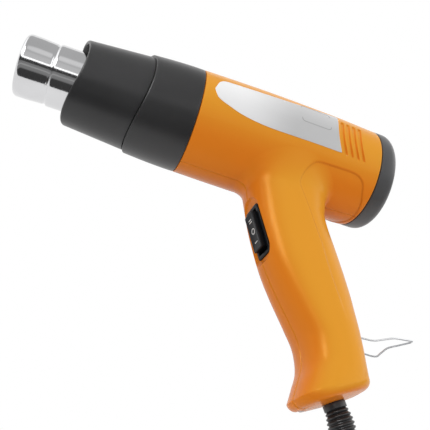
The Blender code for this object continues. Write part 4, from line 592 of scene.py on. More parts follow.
SLOT_LOOKS = {
    "black_plastic": ((0.028, 0.029, 0.031), (0.036, 0.037, 0.039), 0.48, 0.0),
    "black_rubber": ((0.017, 0.017, 0.018), (0.023, 0.023, 0.024), 0.55, 0.0),
    "zinc_steel": ((0.50, 0.51, 0.52), (0.60, 0.60, 0.59), 0.34, 1.0),
    "silver_foil": ((0.58, 0.59, 0.60), (0.64, 0.64, 0.65), 0.38, 0.5),
    "mica": ((0.42, 0.36, 0.25), (0.50, 0.44, 0.32), 0.45, 0.0),
    "heating_wire": ((0.20, 0.17, 0.15), (0.28, 0.22, 0.18), 0.5, 0.9),
    "copper": ((0.55, 0.22, 0.10), (0.64, 0.28, 0.14), 0.3, 1.0),
    "carbon": ((0.02, 0.02, 0.02), (0.035, 0.035, 0.035), 0.6, 0.1),
    "bronze": ((0.40, 0.25, 0.11), (0.47, 0.30, 0.14), 0.4, 1.0),
    "nylon": ((0.60, 0.58, 0.52), (0.68, 0.66, 0.60), 0.45, 0.0),
    "board": ((0.05, 0.16, 0.06), (0.07, 0.20, 0.08), 0.45, 0.0),
    "brass": ((0.60, 0.42, 0.17), (0.68, 0.50, 0.22), 0.28, 1.0),
    "brown_lead": ((0.12, 0.05, 0.02), (0.16, 0.07, 0.03), 0.45, 0.0),
    "blue_lead": ((0.02, 0.06, 0.28), (0.03, 0.08, 0.34), 0.45, 0.0),
    "ferrite": ((0.03, 0.03, 0.035), (0.05, 0.05, 0.055), 0.55, 0.2),
}


def make_materials(looks):
    """Every material by the name of its slot or piece."""
    found = {"orange_plastic": orange_plastic(looks),
             "bright_steel": brushed("bright_steel", (0.60, 0.61, 0.63), (0.70, 0.70, 0.71), 0.13, 0)}
    for name, (first, second, roughness, metallic) in SLOT_LOOKS.items():
        found[name] = grained(name, first, second, roughness, metallic)
    found["chrome"] = brushed("chrome", (0.66, 0.66, 0.67), (0.72, 0.72, 0.73), 0.10, 0, 1400.0)
    found["guard_plastic"] = grained("guard_plastic", looks.guard, tuple(v * 1.25 for v in looks.guard), 0.36,
                                     scale=1500.0, bump=0.00002, Sheen_Weight=0.12, Sheen_Roughness=0.4)
    found["cap_plastic"] = grained("cap_plastic", (0.055, 0.056, 0.059), (0.066, 0.067, 0.070), 0.42,
                                   scale=1500.0, bump=0.00002, Sheen_Weight=0.25, Sheen_Roughness=0.45)
    found["label"] = foil(looks)
    found["label_line"] = grained("label_line", (0.32, 0.32, 0.33), (0.38, 0.38, 0.39), 0.4)
    found["switch_plastic"] = grained("switch_plastic", (0.006, 0.007, 0.009), (0.010, 0.011, 0.013), 0.30,
                                      scale=1600.0, bump=0.00001, Specular_IOR_Level=0.13)
    found["relief_rubber"] = grained("relief_rubber", (0.016, 0.016, 0.017), (0.022, 0.022, 0.023), 0.34,
                                     scale=1600.0, bump=0.00001)
    found["mark"] = grained("mark", (0.62, 0.63, 0.62), (0.70, 0.70, 0.69), 0.5)
    return found


# ---------------------------------------------------------------- shapes of the tool
def barrel_radius(x, sideways):
    """The barrel's radius: a cone plus a swell, a quarter sine from x 100 that eases off behind x 188.

    sideways is y over the radius. The swell fades where that nears 1, where the barrel lies on the bench.
    """
    x = np.asarray(x, float)
    taper = (BARREL_REAR_RADIUS - BARREL_FRONT_RADIUS) / (BARREL_END - BARREL_START)
    cone = BARREL_FRONT_RADIUS + (x - BARREL_START) * taper
    swell = SWELL * np.sin(np.clip((x - 100.0) / 66.0, 0.0, 1.0) * math.pi / 2.0)
    swell = swell * (1.0 - 0.45 * ease((x - 188.0) / 36.0))
    return cone + swell * (1.0 - ease((np.asarray(sideways) - 0.78) / 0.17))


def recess_distance(x, z):
    """Distance in the side view from the grip panel's outline, above 0 inside the panel."""
    line = catmull(RECESS_OUTLINE, 8)
    points = np.stack([np.ravel(x), np.ravel(z)], axis=1)
    best = np.full(len(points), 1e9)
    side = np.zeros(len(points))
    for a, b in zip(line[:-1], line[1:]):
        along = b - a
        size = max(float(along @ along), 1e-12)
        t = np.clip(((points - a) @ along) / size, 0.0, 1.0)
        away = points - (a + t[:, None] * along)
        gap = np.hypot(away[:, 0], away[:, 1])
        cross = along[0] * away[:, 1] - along[1] * away[:, 0]
        closer = gap < best
        best = np.where(closer, gap, best)
        side = np.where(closer, np.where(cross > 0.0, 1.0, -1.0), side)
    return (best * side).reshape(np.shape(x))


def recess_fade(z):
    """1 along the panel's outline, fading out where it runs into the handle's back."""
    return ease((np.asarray(z) + 118.0) / 16.0)


def vent_bow(z):
    """Lean of the vents and the label's rear edge to the rear: a parabola below and a flatter one above."""
    away = np.clip(z, -14.5, 14.0) - VENT_LEVEL
    return np.where(away < 0.0, VENT_BOW_DOWN, VENT_BOW_UP) * away ** 2


def barrel_grids(side):
    """Outer and inner grid of one half of the barrel.

    A point is (x, side r sin a, r cos a), a from the top seam to the bottom seam. r is the cone's radius,
    less the seam's chamfer, the vents' depth and the grip panel's step. Rows lean with the vents near them.
    """
    windows = [(171.0, 219.0, 0.62)]
    for i in range(4):
        middle = VENT_FIRST + i * VENT_PITCH
        windows += [(middle - 1.6, middle - 0.55, 0.14), (middle + 0.55, middle + 1.6, 0.14)]
    x = spread(BARREL_START + 0.7, BARREL_END - 0.7, 1.9, windows)
    x = np.concatenate([[BARREL_START, BARREL_START + 0.15, BARREL_START + 0.4], x,
                        [BARREL_END - 0.4, BARREL_END - 0.15, BARREL_END]])
    edge = np.zeros(len(x))
    edge[:3] = (0.45, 0.14, 0.02)
    edge[-3:] = (0.02, 0.14, 0.45)
    radius = 31.9
    arc = math.pi * radius
    top = radius * math.acos(VENT_TOP / radius)
    low = radius * math.acos(VENT_BOTTOM / radius)
    spots = [(top - 1.3, top + 0.9, 0.2), (low - 0.9, low + 1.3, 0.2), (68.0, arc, 0.62)]
    inner = spread(0.7, arc - 0.7, 1.7, spots)
    offsets = np.array((PARTING, PARTING + 0.04, PARTING + 0.14, PARTING + 0.3))
    insets = np.array((0.55, 0.22, 0.05, 0.01))
    around = np.concatenate([offsets, inner, arc - offsets[::-1]]) / radius
    chamfer = np.concatenate([insets, np.zeros(len(inner)), insets[::-1]])
    gx, ga = np.meshgrid(x, around, indexing="ij")
    z = barrel_radius(gx, -1.0) * np.cos(ga)
    lean = ease((gx - 174.0) / 14.0) * (1.0 - ease((gx - 207.5) / 12.0))
    shifted = gx + lean * vent_bow(z)
    depth = np.zeros_like(gx)
    for i in range(4):
        across = gx - (VENT_FIRST + i * VENT_PITCH)
        beyond = np.maximum(np.abs(z - (VENT_TOP + VENT_BOTTOM) / 2.0)
                            - ((VENT_TOP - VENT_BOTTOM) / 2.0 - VENT_WIDTH / 2.0), 0.0)
        inside = ease((VENT_WIDTH / 2.0 + 0.35 - np.hypot(across, beyond)) / 0.85)
        depth = np.maximum(depth, VENT_DEPTH * inside)
    panel = recess_distance(shifted, z)
    depth = depth + PANEL_STEP * ease((panel + 0.35) / 0.8) * recess_fade(z)
    r = barrel_radius(shifted, side * np.sin(ga)) - chamfer[None, :] - edge[:, None] - depth
    outer = np.stack([shifted, side * r * np.sin(ga), r * np.cos(ga)], axis=-1)
    bore = np.full_like(r, BARREL_BORE)
    hollow = np.stack([shifted, side * bore * np.sin(ga), bore * np.cos(ga)], axis=-1)
    for grid in (outer, hollow):
        grid[:, 0, 1] = grid[:, -1, 1] = side * PARTING
    return outer, hollow


def handle_section_line(row):
    """Half a superellipse of the handle from its front to its back, with u along the section and v across."""
    front = np.array((row[0], row[1]))
    back = np.array((row[2], row[3]))
    angle = np.linspace(math.pi, 0.0, 420)
    power = 2.0 / HANDLE_POWER
    u = np.sign(np.cos(angle)) * np.abs(np.cos(angle)) ** power
    v = np.abs(np.sin(angle)) ** power
    middle = (front + back) / 2.0
    half = (back - front) / 2.0
    return np.stack([middle[0] + half[0] * u, row[4] * v, middle[1] + half[1] * u], axis=1)


def handle_grids(side):
    """Outer and inner grid of one half of the handle.

    Rows go down from the fillet on the barrel. A column of the fillet goes straight up from the first ring
    and turns on a cubic from the handle's line onto the barrel. corner is where the two would meet.
    """
    columns = 118
    rows = catmull(HANDLE_SECTIONS, 16)
    first = 16
    ring = [even(handle_section_line(row), columns) for row in rows]
    up = unit(ring[0] - ring[first])
    base = ring[first]
    reach = np.zeros(columns)
    for _ in range(30):
        point = base + up * reach[:, None]
        far = np.hypot(point[:, 1], point[:, 2])
        gap = far - barrel_radius(point[:, 0], side * point[:, 1] / far)
        slope = (point[:, 1] * up[:, 1] + point[:, 2] * up[:, 2]) / np.hypot(point[:, 1], point[:, 2])
        reach = reach - gap / slope
    corner = base + up * reach[:, None]
    share = np.linspace(0.0, math.pi, columns)
    wide = np.where(share < math.pi / 2.0, 6.0, 3.0) * np.cos(share) ** 2 + 13.0 * np.sin(share) ** 2
    normal = unit(corner * np.array((0.0, 1.0, 1.0)))
    along = unit(np.gradient(corner, axis=0))
    away = unit(np.cross(normal, along))
    centre = corner.mean(axis=0) * np.array((1.0, 0.0, 1.0))
    away = away * np.sign(((corner - centre) * away).sum(axis=1))[:, None]
    angle = np.arctan2(corner[:, 1], -corner[:, 2])
    reached = barrel_radius(corner[:, 0], side * np.sin(angle))
    spin = angle + wide * away[:, 1] / np.cos(angle).clip(0.3) / reached
    land_x = corner[:, 0] + wide * away[:, 0]
    land_r = barrel_radius(land_x, side * np.sin(spin)) - 0.03
    land = np.stack([land_x, land_r * np.sin(spin), -land_r * np.cos(spin)], axis=1)
    tangent = unit(land - corner)
    flat = np.stack([np.zeros(columns), np.cos(spin), np.sin(spin)], axis=1)
    tangent = unit(np.stack([tangent[:, 0], flat[:, 1] * (tangent * flat).sum(axis=1),
                             flat[:, 2] * (tangent * flat).sum(axis=1)], axis=1))
    start = corner - up * np.minimum(wide, reach * 0.92)[:, None]
    lift = np.linspace(0.0, 1.0, 30)[:, None, None]
    length = np.linalg.norm(land - corner, axis=1)[:, None]
    p1 = start + (corner - start) * 0.62
    p2 = land - tangent * length * 0.62
    bend = ((1 - lift) ** 3 * start + 3 * (1 - lift) ** 2 * lift * p1 + 3 * (1 - lift) * lift ** 2 * p2
            + lift ** 3 * land)
    straight = base + (start - base) * np.linspace(0.0, 1.0, 10)[:, None, None]
    last = rows[-1]
    section = np.array((last[2] - last[0], 0.0, last[3] - last[1]))
    size = np.linalg.norm(section)
    round_end = []
    for turn in np.linspace(0.0, math.pi / 2.0, 9)[1:]:
        inset = HANDLE_END_RADIUS * (1.0 - math.cos(turn))
        shrink = inset / size
        row = np.array((last[0] + (last[2] - last[0]) * shrink, last[1] + (last[3] - last[1]) * shrink,
                        last[2] - (last[2] - last[0]) * shrink, last[3] - (last[3] - last[1]) * shrink,
                        last[4] - inset))
        drop = HANDLE_AXIS * HANDLE_END_RADIUS * math.sin(turn)
        round_end.append(even(handle_section_line(row), columns) + drop)
    base_line = round_end[-1]
    for flatten in (0.85, 0.7, 0.5, 0.3, 0.0):
        crown = HANDLE_CROWN * (1.0 - flatten ** 2)
        bulge = HANDLE_AXIS * crown * np.sin(share)[:, None]
        round_end.append(base_line * np.array((1.0, flatten, 1.0)) + bulge)
    outer = np.concatenate([bend[::-1], straight[::-1][1:], np.array(ring[first + 1:]), np.array(round_end)])
    normals = grid_normals(outer)
    middle = outer.mean(axis=1, keepdims=True) * np.array((1.0, 0.0, 1.0))
    normals = normals * np.sign(((outer - middle) * normals).sum(axis=-1, keepdims=True))
    panel = recess_distance(outer[..., 0], outer[..., 2])
    depth = PANEL_STEP * ease((panel + 0.45) / 0.9) * recess_fade(outer[..., 2])
    outer = outer - normals * depth[..., None]
    seam = np.clip(1.0 - outer[..., 1:2] / 0.5, 0.0, 1.0)
    pull = (middle - outer)
    pull[..., 1] = 0.0
    outer = outer + unit(pull) * 0.5 * ease(seam)
    outer[..., 1] = np.maximum(outer[..., 1], PARTING)
    frontness = np.clip((middle[..., :1] - outer[..., :1]) / 18.0, 0.0, 1.0)
    inner = middle + (outer - middle) * (0.88 - 0.13 * frontness)
    inner[..., 1] = np.maximum(inner[..., 1], PARTING)
    lift_in = ease((np.arange(len(outer)) - (len(outer) - 30)) / 28.0)[:, None, None]
    inner = inner - HANDLE_AXIS * 2.6 * lift_in
    sign = np.array((1.0, side, 1.0))
    return outer * sign, inner * sign


def switch_point(out, across, down):
    """A point of the switch's frame in the tool's frame."""
    return SWITCH_SEAT + SWITCH_OUT * out + SWITCH_ACROSS * across + SWITCH_DOWN * down


def relief_place(distance):
    """Place and heading on the strain relief's line: straight through its collar, then an even bend."""
    lift = np.array((0.0, 1.0, 0.0))
    centre = RELIEF_CENTRE + RELIEF_SHIFT * (1.0 - ease((distance - 4.0) / (RELIEF_TAIL - 1.0)))
    if distance <= RELIEF_COLLAR_END:
        return centre + HANDLE_AXIS * distance, HANDLE_AXIS
    radius = RELIEF_TAIL / RELIEF_DROOP
    angle = (distance - RELIEF_COLLAR_END) / radius
    ahead = RELIEF_COLLAR_END + radius * math.sin(angle)
    point = HANDLE_AXIS * ahead + lift * (radius * (1.0 - math.cos(angle)))
    return centre + point, HANDLE_AXIS * math.cos(angle) + lift * math.sin(angle)


def coil_line(per_loop):
    """Centre line of the coil in metres: loops that spiral in on the bench and out again a layer higher."""
    span = LOOPS_PER_LAYER * LOOP_PITCH
    outer = COIL_MEAN_RADIUS + span / 2.0
    low = CORD_RADIUS / 1000.0 + TIE_THICKNESS + GAP / 1000.0
    t = np.linspace(0.0, COIL_LAYERS * LOOPS_PER_LAYER, COIL_LAYERS * LOOPS_PER_LAYER * per_loop + 1)
    radius = np.where(t < LOOPS_PER_LAYER, outer - LOOP_PITCH * t, outer - 2.0 * span + LOOP_PITCH * t)
    height = low + LOOP_PITCH * ease((t - LOOPS_PER_LAYER + 0.25) / 0.5)
    angle = -2.0 * math.pi * t
    return np.stack([COIL_CENTRE[0] + radius * np.cos(angle),
                     COIL_CENTRE[1] + radius * np.sin(angle), height], axis=1)


def cord_line():
    """The cord's centre line in the world, from the strain relief's tip: bench, coil and tail."""
    place_tip, heading = relief_place(RELIEF_COLLAR_END + RELIEF_TAIL)
    tip = to_world(place_tip)[0]
    ahead = np.array(TOOL.to_3x3()) @ heading
    loops = coil_line(48)
    into = np.array((0.0, -1.0, 0.0))
    start = tip + ahead * GAP / 1000.0
    end = loops[0]
    knots = [start, start + ahead * 0.007] + [np.array(p) for p in CORD_ROUTE]
    knots += [end - into * (0.007 + GAP / 1000.0), end - into * GAP / 1000.0]
    free = even(catmull(np.array(knots)), 90)
    rise = PLUG_HIGH / 2.0 - loops[-1][2]
    tail_knots = [loops[-1]] + [loops[-1] + into * PLUG_TAIL * s + np.array((0.0, 0.0, rise * e))
                                for s, e in ((0.35, 0.5), (0.53, 1.0), (1.0, 1.0))]
    tail = catmull(np.array(tail_knots), 8)[1:]
    return np.vstack([free, loops, tail]), start


# ---------------------------------------------------------------- properties
def length(label, text, value):
    """A length property in metres from a value in millimetres."""
    return bpy.props.FloatProperty(name=label, description=text, default=value / 1000.0, unit="LENGTH")


def paint(label, text, value):
    """A colour property in linear light."""
    return bpy.props.FloatVectorProperty(name=label, description=text, default=value, subtype="COLOR", size=3,
                                         min=0.0, max=1.0)


class HOTAIR_PG_looks(bpy.types.PropertyGroup):
    """Colours of the visible plastic and foil."""

    # Painted light: the housing's colour where it faces the fixed light.
    orange: paint("Orange", "Housing where it faces left, up and to the rear", (0.722, 0.303, 0.026))
    # Painted shade: the housing's colour where it faces away from the fixed light.
    orange_painted_shade: paint("Deep orange", "Housing where it faces right, down and to the front",
                       (0.738, 0.203, 0.014))
    orange_line: paint("Line", "Scored lines of the housing", (0.330, 0.090, 0.010))
    guard: paint("Guard", "Guard and collar", (0.018, 0.018, 0.019))
    # The foil's lightest colour, at the tip; painted shade darkens it to the rear and below.
    label: paint("Label", "Foil label", (0.930, 0.935, 0.950))


class HOTAIR_PG_sizes(bpy.types.PropertyGroup):
    """Sizes of the camera's view and of small details."""

    lens: bpy.props.FloatProperty(name="Lens", description="Focal length on a 36 mm sensor, in millimetres",
                                  default=49.80)
    wire: length("Wire", "Radius of the stand's wire", 0.55)
    label_proud: length("Label", "How far the label stands out of the barrel", 0.2)


class HOTAIR_OT_stage(bpy.types.Operator):
    """Camera, floor, lights and world"""

    bl_idname = "hotair.stage"
    bl_label = "Stage"

    def execute(self, context):
        scene = context.scene
        scene.view_settings.view_transform = "Standard"
        turn = np.array(TOOL.to_3x3())
        data = bpy.data.cameras.new("camera")
        data.lens = scene.hotair_sizes.lens
        data.sensor_width = 36.0
        data.clip_start = 0.01
        camera = bpy.data.objects.new("camera", data)
        scene.collection.objects.link(camera)
        directions = (CAMERA_RIGHT, -np.array(CAMERA_DOWN), -np.array(CAMERA_AHEAD))
        axes = Matrix([list(turn @ v) for v in directions]).transposed().to_4x4()
        camera.matrix_world = Matrix.Translation(to_world(CAMERA_EYE)[0]) @ axes
        scene.camera = camera
        self.floor(scene)
        self.lights(scene)
        return {"FINISHED"}

    def floor(self, scene):
        """Large round floor: white to the camera, nearly so to gloss rays, pale to the light."""
        angle = np.linspace(0.0, 2.0 * math.pi, 96, endpoint=False)
        rim = np.stack([np.cos(angle), np.sin(angle), np.zeros(96)], axis=1)
        rings = np.stack([rim * size + np.array((0.0, 0.0, drop)) for size, drop in
                          ((0.02, -0.0004), (0.6, -0.0004), (4.0, -0.0004), (4.0, -0.02), (0.02, -0.02))])
        mesh = Skin().tube(rings).mesh("floor", world=True)
        made, tree, shader = principled("floor", 0.9)
        tone_and_painted_shade = tree.noise(3.0)
        pale = tree.mix(tone_and_painted_shade, colour((0.80, 0.80, 0.80)), colour((0.83, 0.83, 0.83)))
        tree.feed(pale, shader.inputs["Base Color"])
        output = [n for n in tree.tree.nodes if n.type == "OUTPUT_MATERIAL"][0]
        path = tree.add("ShaderNodeLightPath").outputs
        seen = tree.number(path["Is Camera Ray"]) + tree.number(path["Is Glossy Ray"]) * FLOOR_GLOSS
        white = tree.add("ShaderNodeEmission", {"Color": (1.0, 1.0, 1.0, 1.0), "Strength": 1.0})
        both = tree.add("ShaderNodeMixShader", {"Fac": seen})
        tree.tree.links.new(shader.outputs["BSDF"], both.inputs[1])
        tree.tree.links.new(white.outputs["Emission"], both.inputs[2])
        tree.tree.links.new(both.outputs["Shader"], output.inputs["Surface"])
        floor = bpy.data.objects.new("floor", mesh)
        scene.collection.objects.link(floor)
        mesh.materials.append(made)
        mesh.shade_smooth()

    def lights(self, scene):
        """Area lights, and a world that shows gloss rays bright strips and spots on a darker wall.

        Plain rays see an even glow and the camera sees white. Directions are the world's own.
        """
        for name, spot, aim, size, power in (
                ("key", (-0.20, 0.75, 0.65), (0.02, 0.02, 0.03), 0.80, 3.5),
                ("side", (0.80, -0.10, 0.60), (0.04, 0.02, 0.03), 0.60, 1.8),
                ("front", (-0.55, -0.55, 0.60), (-0.05, 0.05, 0.03), 0.60, 1.3)):
            data = bpy.data.lights.new(name, "AREA")
            data.shape = "DISK"
            data.size = size
            data.energy = power
            data.color = LAMP_TINT
            lamp = bpy.data.objects.new(name, data)
            scene.collection.objects.link(lamp)
            lamp.visible_glossy = False
            way = Vector(aim) - Vector(spot)
            lamp.matrix_world = Matrix.Translation(spot) @ way.to_track_quat("-Z", "Y").to_matrix().to_4x4()
        world = bpy.data.worlds.new("studio")
        world.use_nodes = True
        scene.world = world
        tree = Tree(world.node_tree)
        direction = tree.add("ShaderNodeTexCoord").outputs["Generated"]
        parts = tree.add("ShaderNodeSeparateXYZ", {"Vector": direction})
        north = tree.number(parts.outputs["Y"]) * 0.76 + tree.number(parts.outputs["Z"]) * 0.65
        path = tree.add("ShaderNodeLightPath").outputs
        glow = 0.61 + 0.17 * north.step(-0.3, 0.9)
        wall = 0.05 + 0.62 * north.step(0.38, 0.42) - 0.13 * north.step(0.62, 0.78)
        lines = 0.20 * (north.step(-0.36, -0.28) - north.step(0.09, 0.12))
        lines = lines + 0.18 * (north.step(-0.13, -0.10) - north.step(-0.06, -0.03))
        strip = 2.0 * (north.step(0.29, 0.32) - north.step(0.38, 0.41))
        ends = tree.number(parts.outputs["X"])
        patch = 0.9 * (ends * ends).step(0.16, 0.26) * (north.step(0.34, 0.38) - north.step(0.72, 0.80))
        mirror = wall + lines + strip + patch
        for spot, power in (((-0.68, 0.17, 0.71), 13.0), ((-0.05, 0.33, 0.94), 0.3)):
            toward = tree.add("ShaderNodeVectorMath", {0: direction, 1: spot}, operation="DOT_PRODUCT")
            mirror = mirror + power * tree.number(toward.outputs["Value"]).step(0.970, 0.994)
        soft = tree.add("ShaderNodeMix", {0: path["Is Glossy Ray"], 2: glow, 3: mirror}, data_type="FLOAT")
        light = tree.number(soft.outputs[0])
        level = tree.number(path["Is Camera Ray"])
        strength = light * (1.0 - level) + level
        sky = tree.add("ShaderNodeBackground", {"Color": (1.0, 1.0, 1.0, 1.0), "Strength": strength})
        tree.add("ShaderNodeOutputWorld", {"Surface": sky.outputs["Background"]})


class HOTAIR_OT_cord(bpy.types.Operator):
    """Supply cord with its coil, tie and plug"""

    bl_idname = "hotair.cord"
    bl_label = "Cord"

    def execute(self, context):
        line, start = cord_line()
        cord = place_tube(swept(line, CORD_RADIUS / 1000.0, 18), "supply_cord", "black_rubber", "tool",
                          ("power_cord", "cord_coil"), 35.0, world=True)
        tie = self.tie()
        plug, pins = self.plug(line)
        return {"FINISHED"}

    def tie(self):
        """A flat band round all the turns: a rounded strip swept round a rounded rectangle."""
        span = LOOPS_PER_LAYER * LOOP_PITCH
        gap = GAP / 1000.0
        radius = CORD_RADIUS / 1000.0
        inner = COIL_MEAN_RADIUS - span / 2.0 + LOOP_PITCH / 2.0 - radius - 2.0 * gap
        outer = COIL_MEAN_RADIUS + span / 2.0 - LOOP_PITCH / 2.0 + radius + 2.0 * gap
        top = 2.0 * (radius + gap) + LOOP_PITCH + TIE_THICKNESS + gap
        half_u = (outer - inner) / 2.0
        half_v = (top - TIE_THICKNESS) / 2.0
        middle = (-(outer + inner) / 2.0, (top + TIE_THICKNESS) / 2.0)
        strip = rounded_loop(TIE_THICKNESS / 2.0, 0.0025, 0.0003, 3)
        rings = []
        for out, across in strip:
            grow = out + TIE_THICKNESS / 2.0
            loop = rounded_loop(half_u + grow, half_v + grow, 0.003 + grow, 8)
            rings.append(np.stack([COIL_CENTRE[0] + middle[0] + loop[:, 0],
                                   np.full(len(loop), COIL_CENTRE[1] + across),
                                   middle[1] + loop[:, 1]], axis=1))
        return place_tube(rings, "cord_band", "black_plastic", "tool", ("cord_tie",), 35.0,
                          closed=True, world=True)

    def plug(self, line):
        """Two pin plug: superellipse rings from a ribbed neck to a flat face, and domed pins."""
        start = line[-1] + np.array((0.0, -GAP / 1000.0, 0.0))
        rim = 0.046 - 0.0015 * (1.0 - np.sin(np.linspace(0.2, 1.0, 5) * math.pi / 2.0))
        distance = np.concatenate([np.linspace(0.0, 0.024, 49), np.linspace(0.0245, 0.0445, 12), rim, [0.046]])
        grow = ease(distance / 0.026)
        wide = 0.0056 + (0.0180 - 0.0056) * grow
        high = 0.0056 + (0.0130 - 0.0056) * grow
        power = 2.0 + 1.2 * grow
        ribs = 0.0006 * np.clip(np.sin(distance / 0.0032 * 2.0 * math.pi), -0.5, 0.8)
        ribs = ribs * (1.0 - ease((distance - 0.010) / 0.008))
        face = np.clip((distance - 0.0445) / 0.0015, 0.0, 1.0)
        pull = 0.0014 * (1.0 - np.sqrt(1.0 - face ** 2))
        pull[-1] = 0.0024
        angle = np.linspace(0.0, 2.0 * math.pi, 96, endpoint=False)
        c, s = np.cos(angle), np.sin(angle)
        rows = []
        for d, w, h, p, extra, less in zip(distance, wide, high, power, ribs, pull):
            x = np.sign(c) * np.abs(c) ** (2.0 / p) * (w + extra - less)
            z = np.sign(s) * np.abs(s) ** (2.0 / p) * (h + extra - less)
            rows.append(np.stack([start[0] + x, np.full(96, start[1] - d), start[2] + z], axis=1))
        body = place_tube(rows, "plug_shell", "black_rubber", "tool", ("plug_body",), 35.0,
                          world=True)
        pins = []
        for i, side in enumerate((-1.0, 1.0)):
            path = np.linspace(start + np.array((side * 0.0093, -0.0445, 0.0)),
                               start + np.array((side * 0.0093, -0.0650, 0.0)), 12)
            points, radii = rounded_ends(path, 0.0024, 6)
            pins.append(place_tube(swept(points, radii, 32), "pin_%d" % (i + 1), "brass", "tool",
                                   ("plug_pin_%d" % (i + 1),), 35.0, world=True))
        return body, pins


class HOTAIR_OT_housing(bpy.types.Operator):
    """Both halves of the orange housing"""

    bl_idname = "hotair.housing"
    bl_label = "Housing"

    def execute(self, context):
        for side, name in ((-1.0, "left"), (1.0, "right")):
            outer, inner = barrel_grids(side)
            barrel = Skin().shell(outer, inner).mesh(name + "_barrel")
            outer, inner = handle_grids(side)
            handle = Skin().shell(outer, inner).mesh(name + "_handle")
            handle = applied(handle, self.cutters(side))
            mesh = joined([barrel, handle], name + "_shell")
            self.score(mesh)
            place(mesh, name + "_shell", "orange_plastic", "tool", (name + "_housing",),
                  32.0)
        return {"FINISHED"}

    def cutters(self, side):
        """Openings of the handle: switch, stand, and on the right the screws."""
        axes = (SWITCH_OUT, SWITCH_ACROSS, SWITCH_DOWN)
        cuts = [self.pocket(), box_mesh(SWITCH_SEAT, axes, SWITCH_HOLE)]
        cuts.append(box_mesh((WIRE_PIVOT[0] + 7.5, 0.0, WIRE_PIVOT[1]), np.eye(3), STAND_HOLE))
        if side > 0.0:
            for x, z in HOUSING_SCREWS:
                cuts.append(rod_mesh((x, 5.0, z), (x, 40.0, z), SCREW_HOLE_RADIUS))
        return cuts

    def pocket(self):
        """Flat bottomed pocket round the switch: a rounded rectangle that flares outward."""
        rings = []
        for out, across, down, corner in ((0.0, 8.0, 18.9, 7.0), (7.0, 18.5, 24.9, 13.0)):
            loop = rounded_loop(across, down, corner, 14)
            rings.append([switch_point(out, u, v - 1.8) for u, v in loop])
        return Skin().tube(np.array(rings)).mesh("pocket")

    def score(self, mesh):
        """Store each point's distance from the grip panel's outline, and how far it faces left, up and rear.

        Both steer the housing's colour, so they are fixed on the tool and don't depend on the view. The second is
        painted shade: lighter where the surface faces a fixed light direction.
        """
        count = len(mesh.vertices)
        points = np.zeros(count * 3)
        mesh.vertices.foreach_get("co", points)
        points = points.reshape(-1, 3)
        turn = np.array(TOOL.to_3x3())
        local = (points - np.array(TOOL.translation)) @ turn * 1000.0
        gap = np.abs(recess_distance(local[:, 0], local[:, 2]))
        gap = gap + 3.0 * (1.0 - recess_fade(local[:, 2]))
        attribute = mesh.attributes.new("line", "FLOAT", "POINT")
        attribute.data.foreach_set("value", np.minimum(gap, 5.0).astype(np.float32))
        normals = np.zeros(count * 3)
        mesh.vertex_normals.foreach_get("vector", normals)
        normals = normals.reshape(-1, 3) @ turn
        # Painted shade: how far each point faces a fixed light direction in the tool's frame.
        tone_and_painted_shade = ease((normals @ np.array((0.35, -0.75, 0.56)) + 0.05) / 0.75)
        attribute = mesh.attributes.new("tone_and_painted_shade", "FLOAT", "POINT")
        attribute.data.foreach_set("value", tone_and_painted_shade.astype(np.float32))


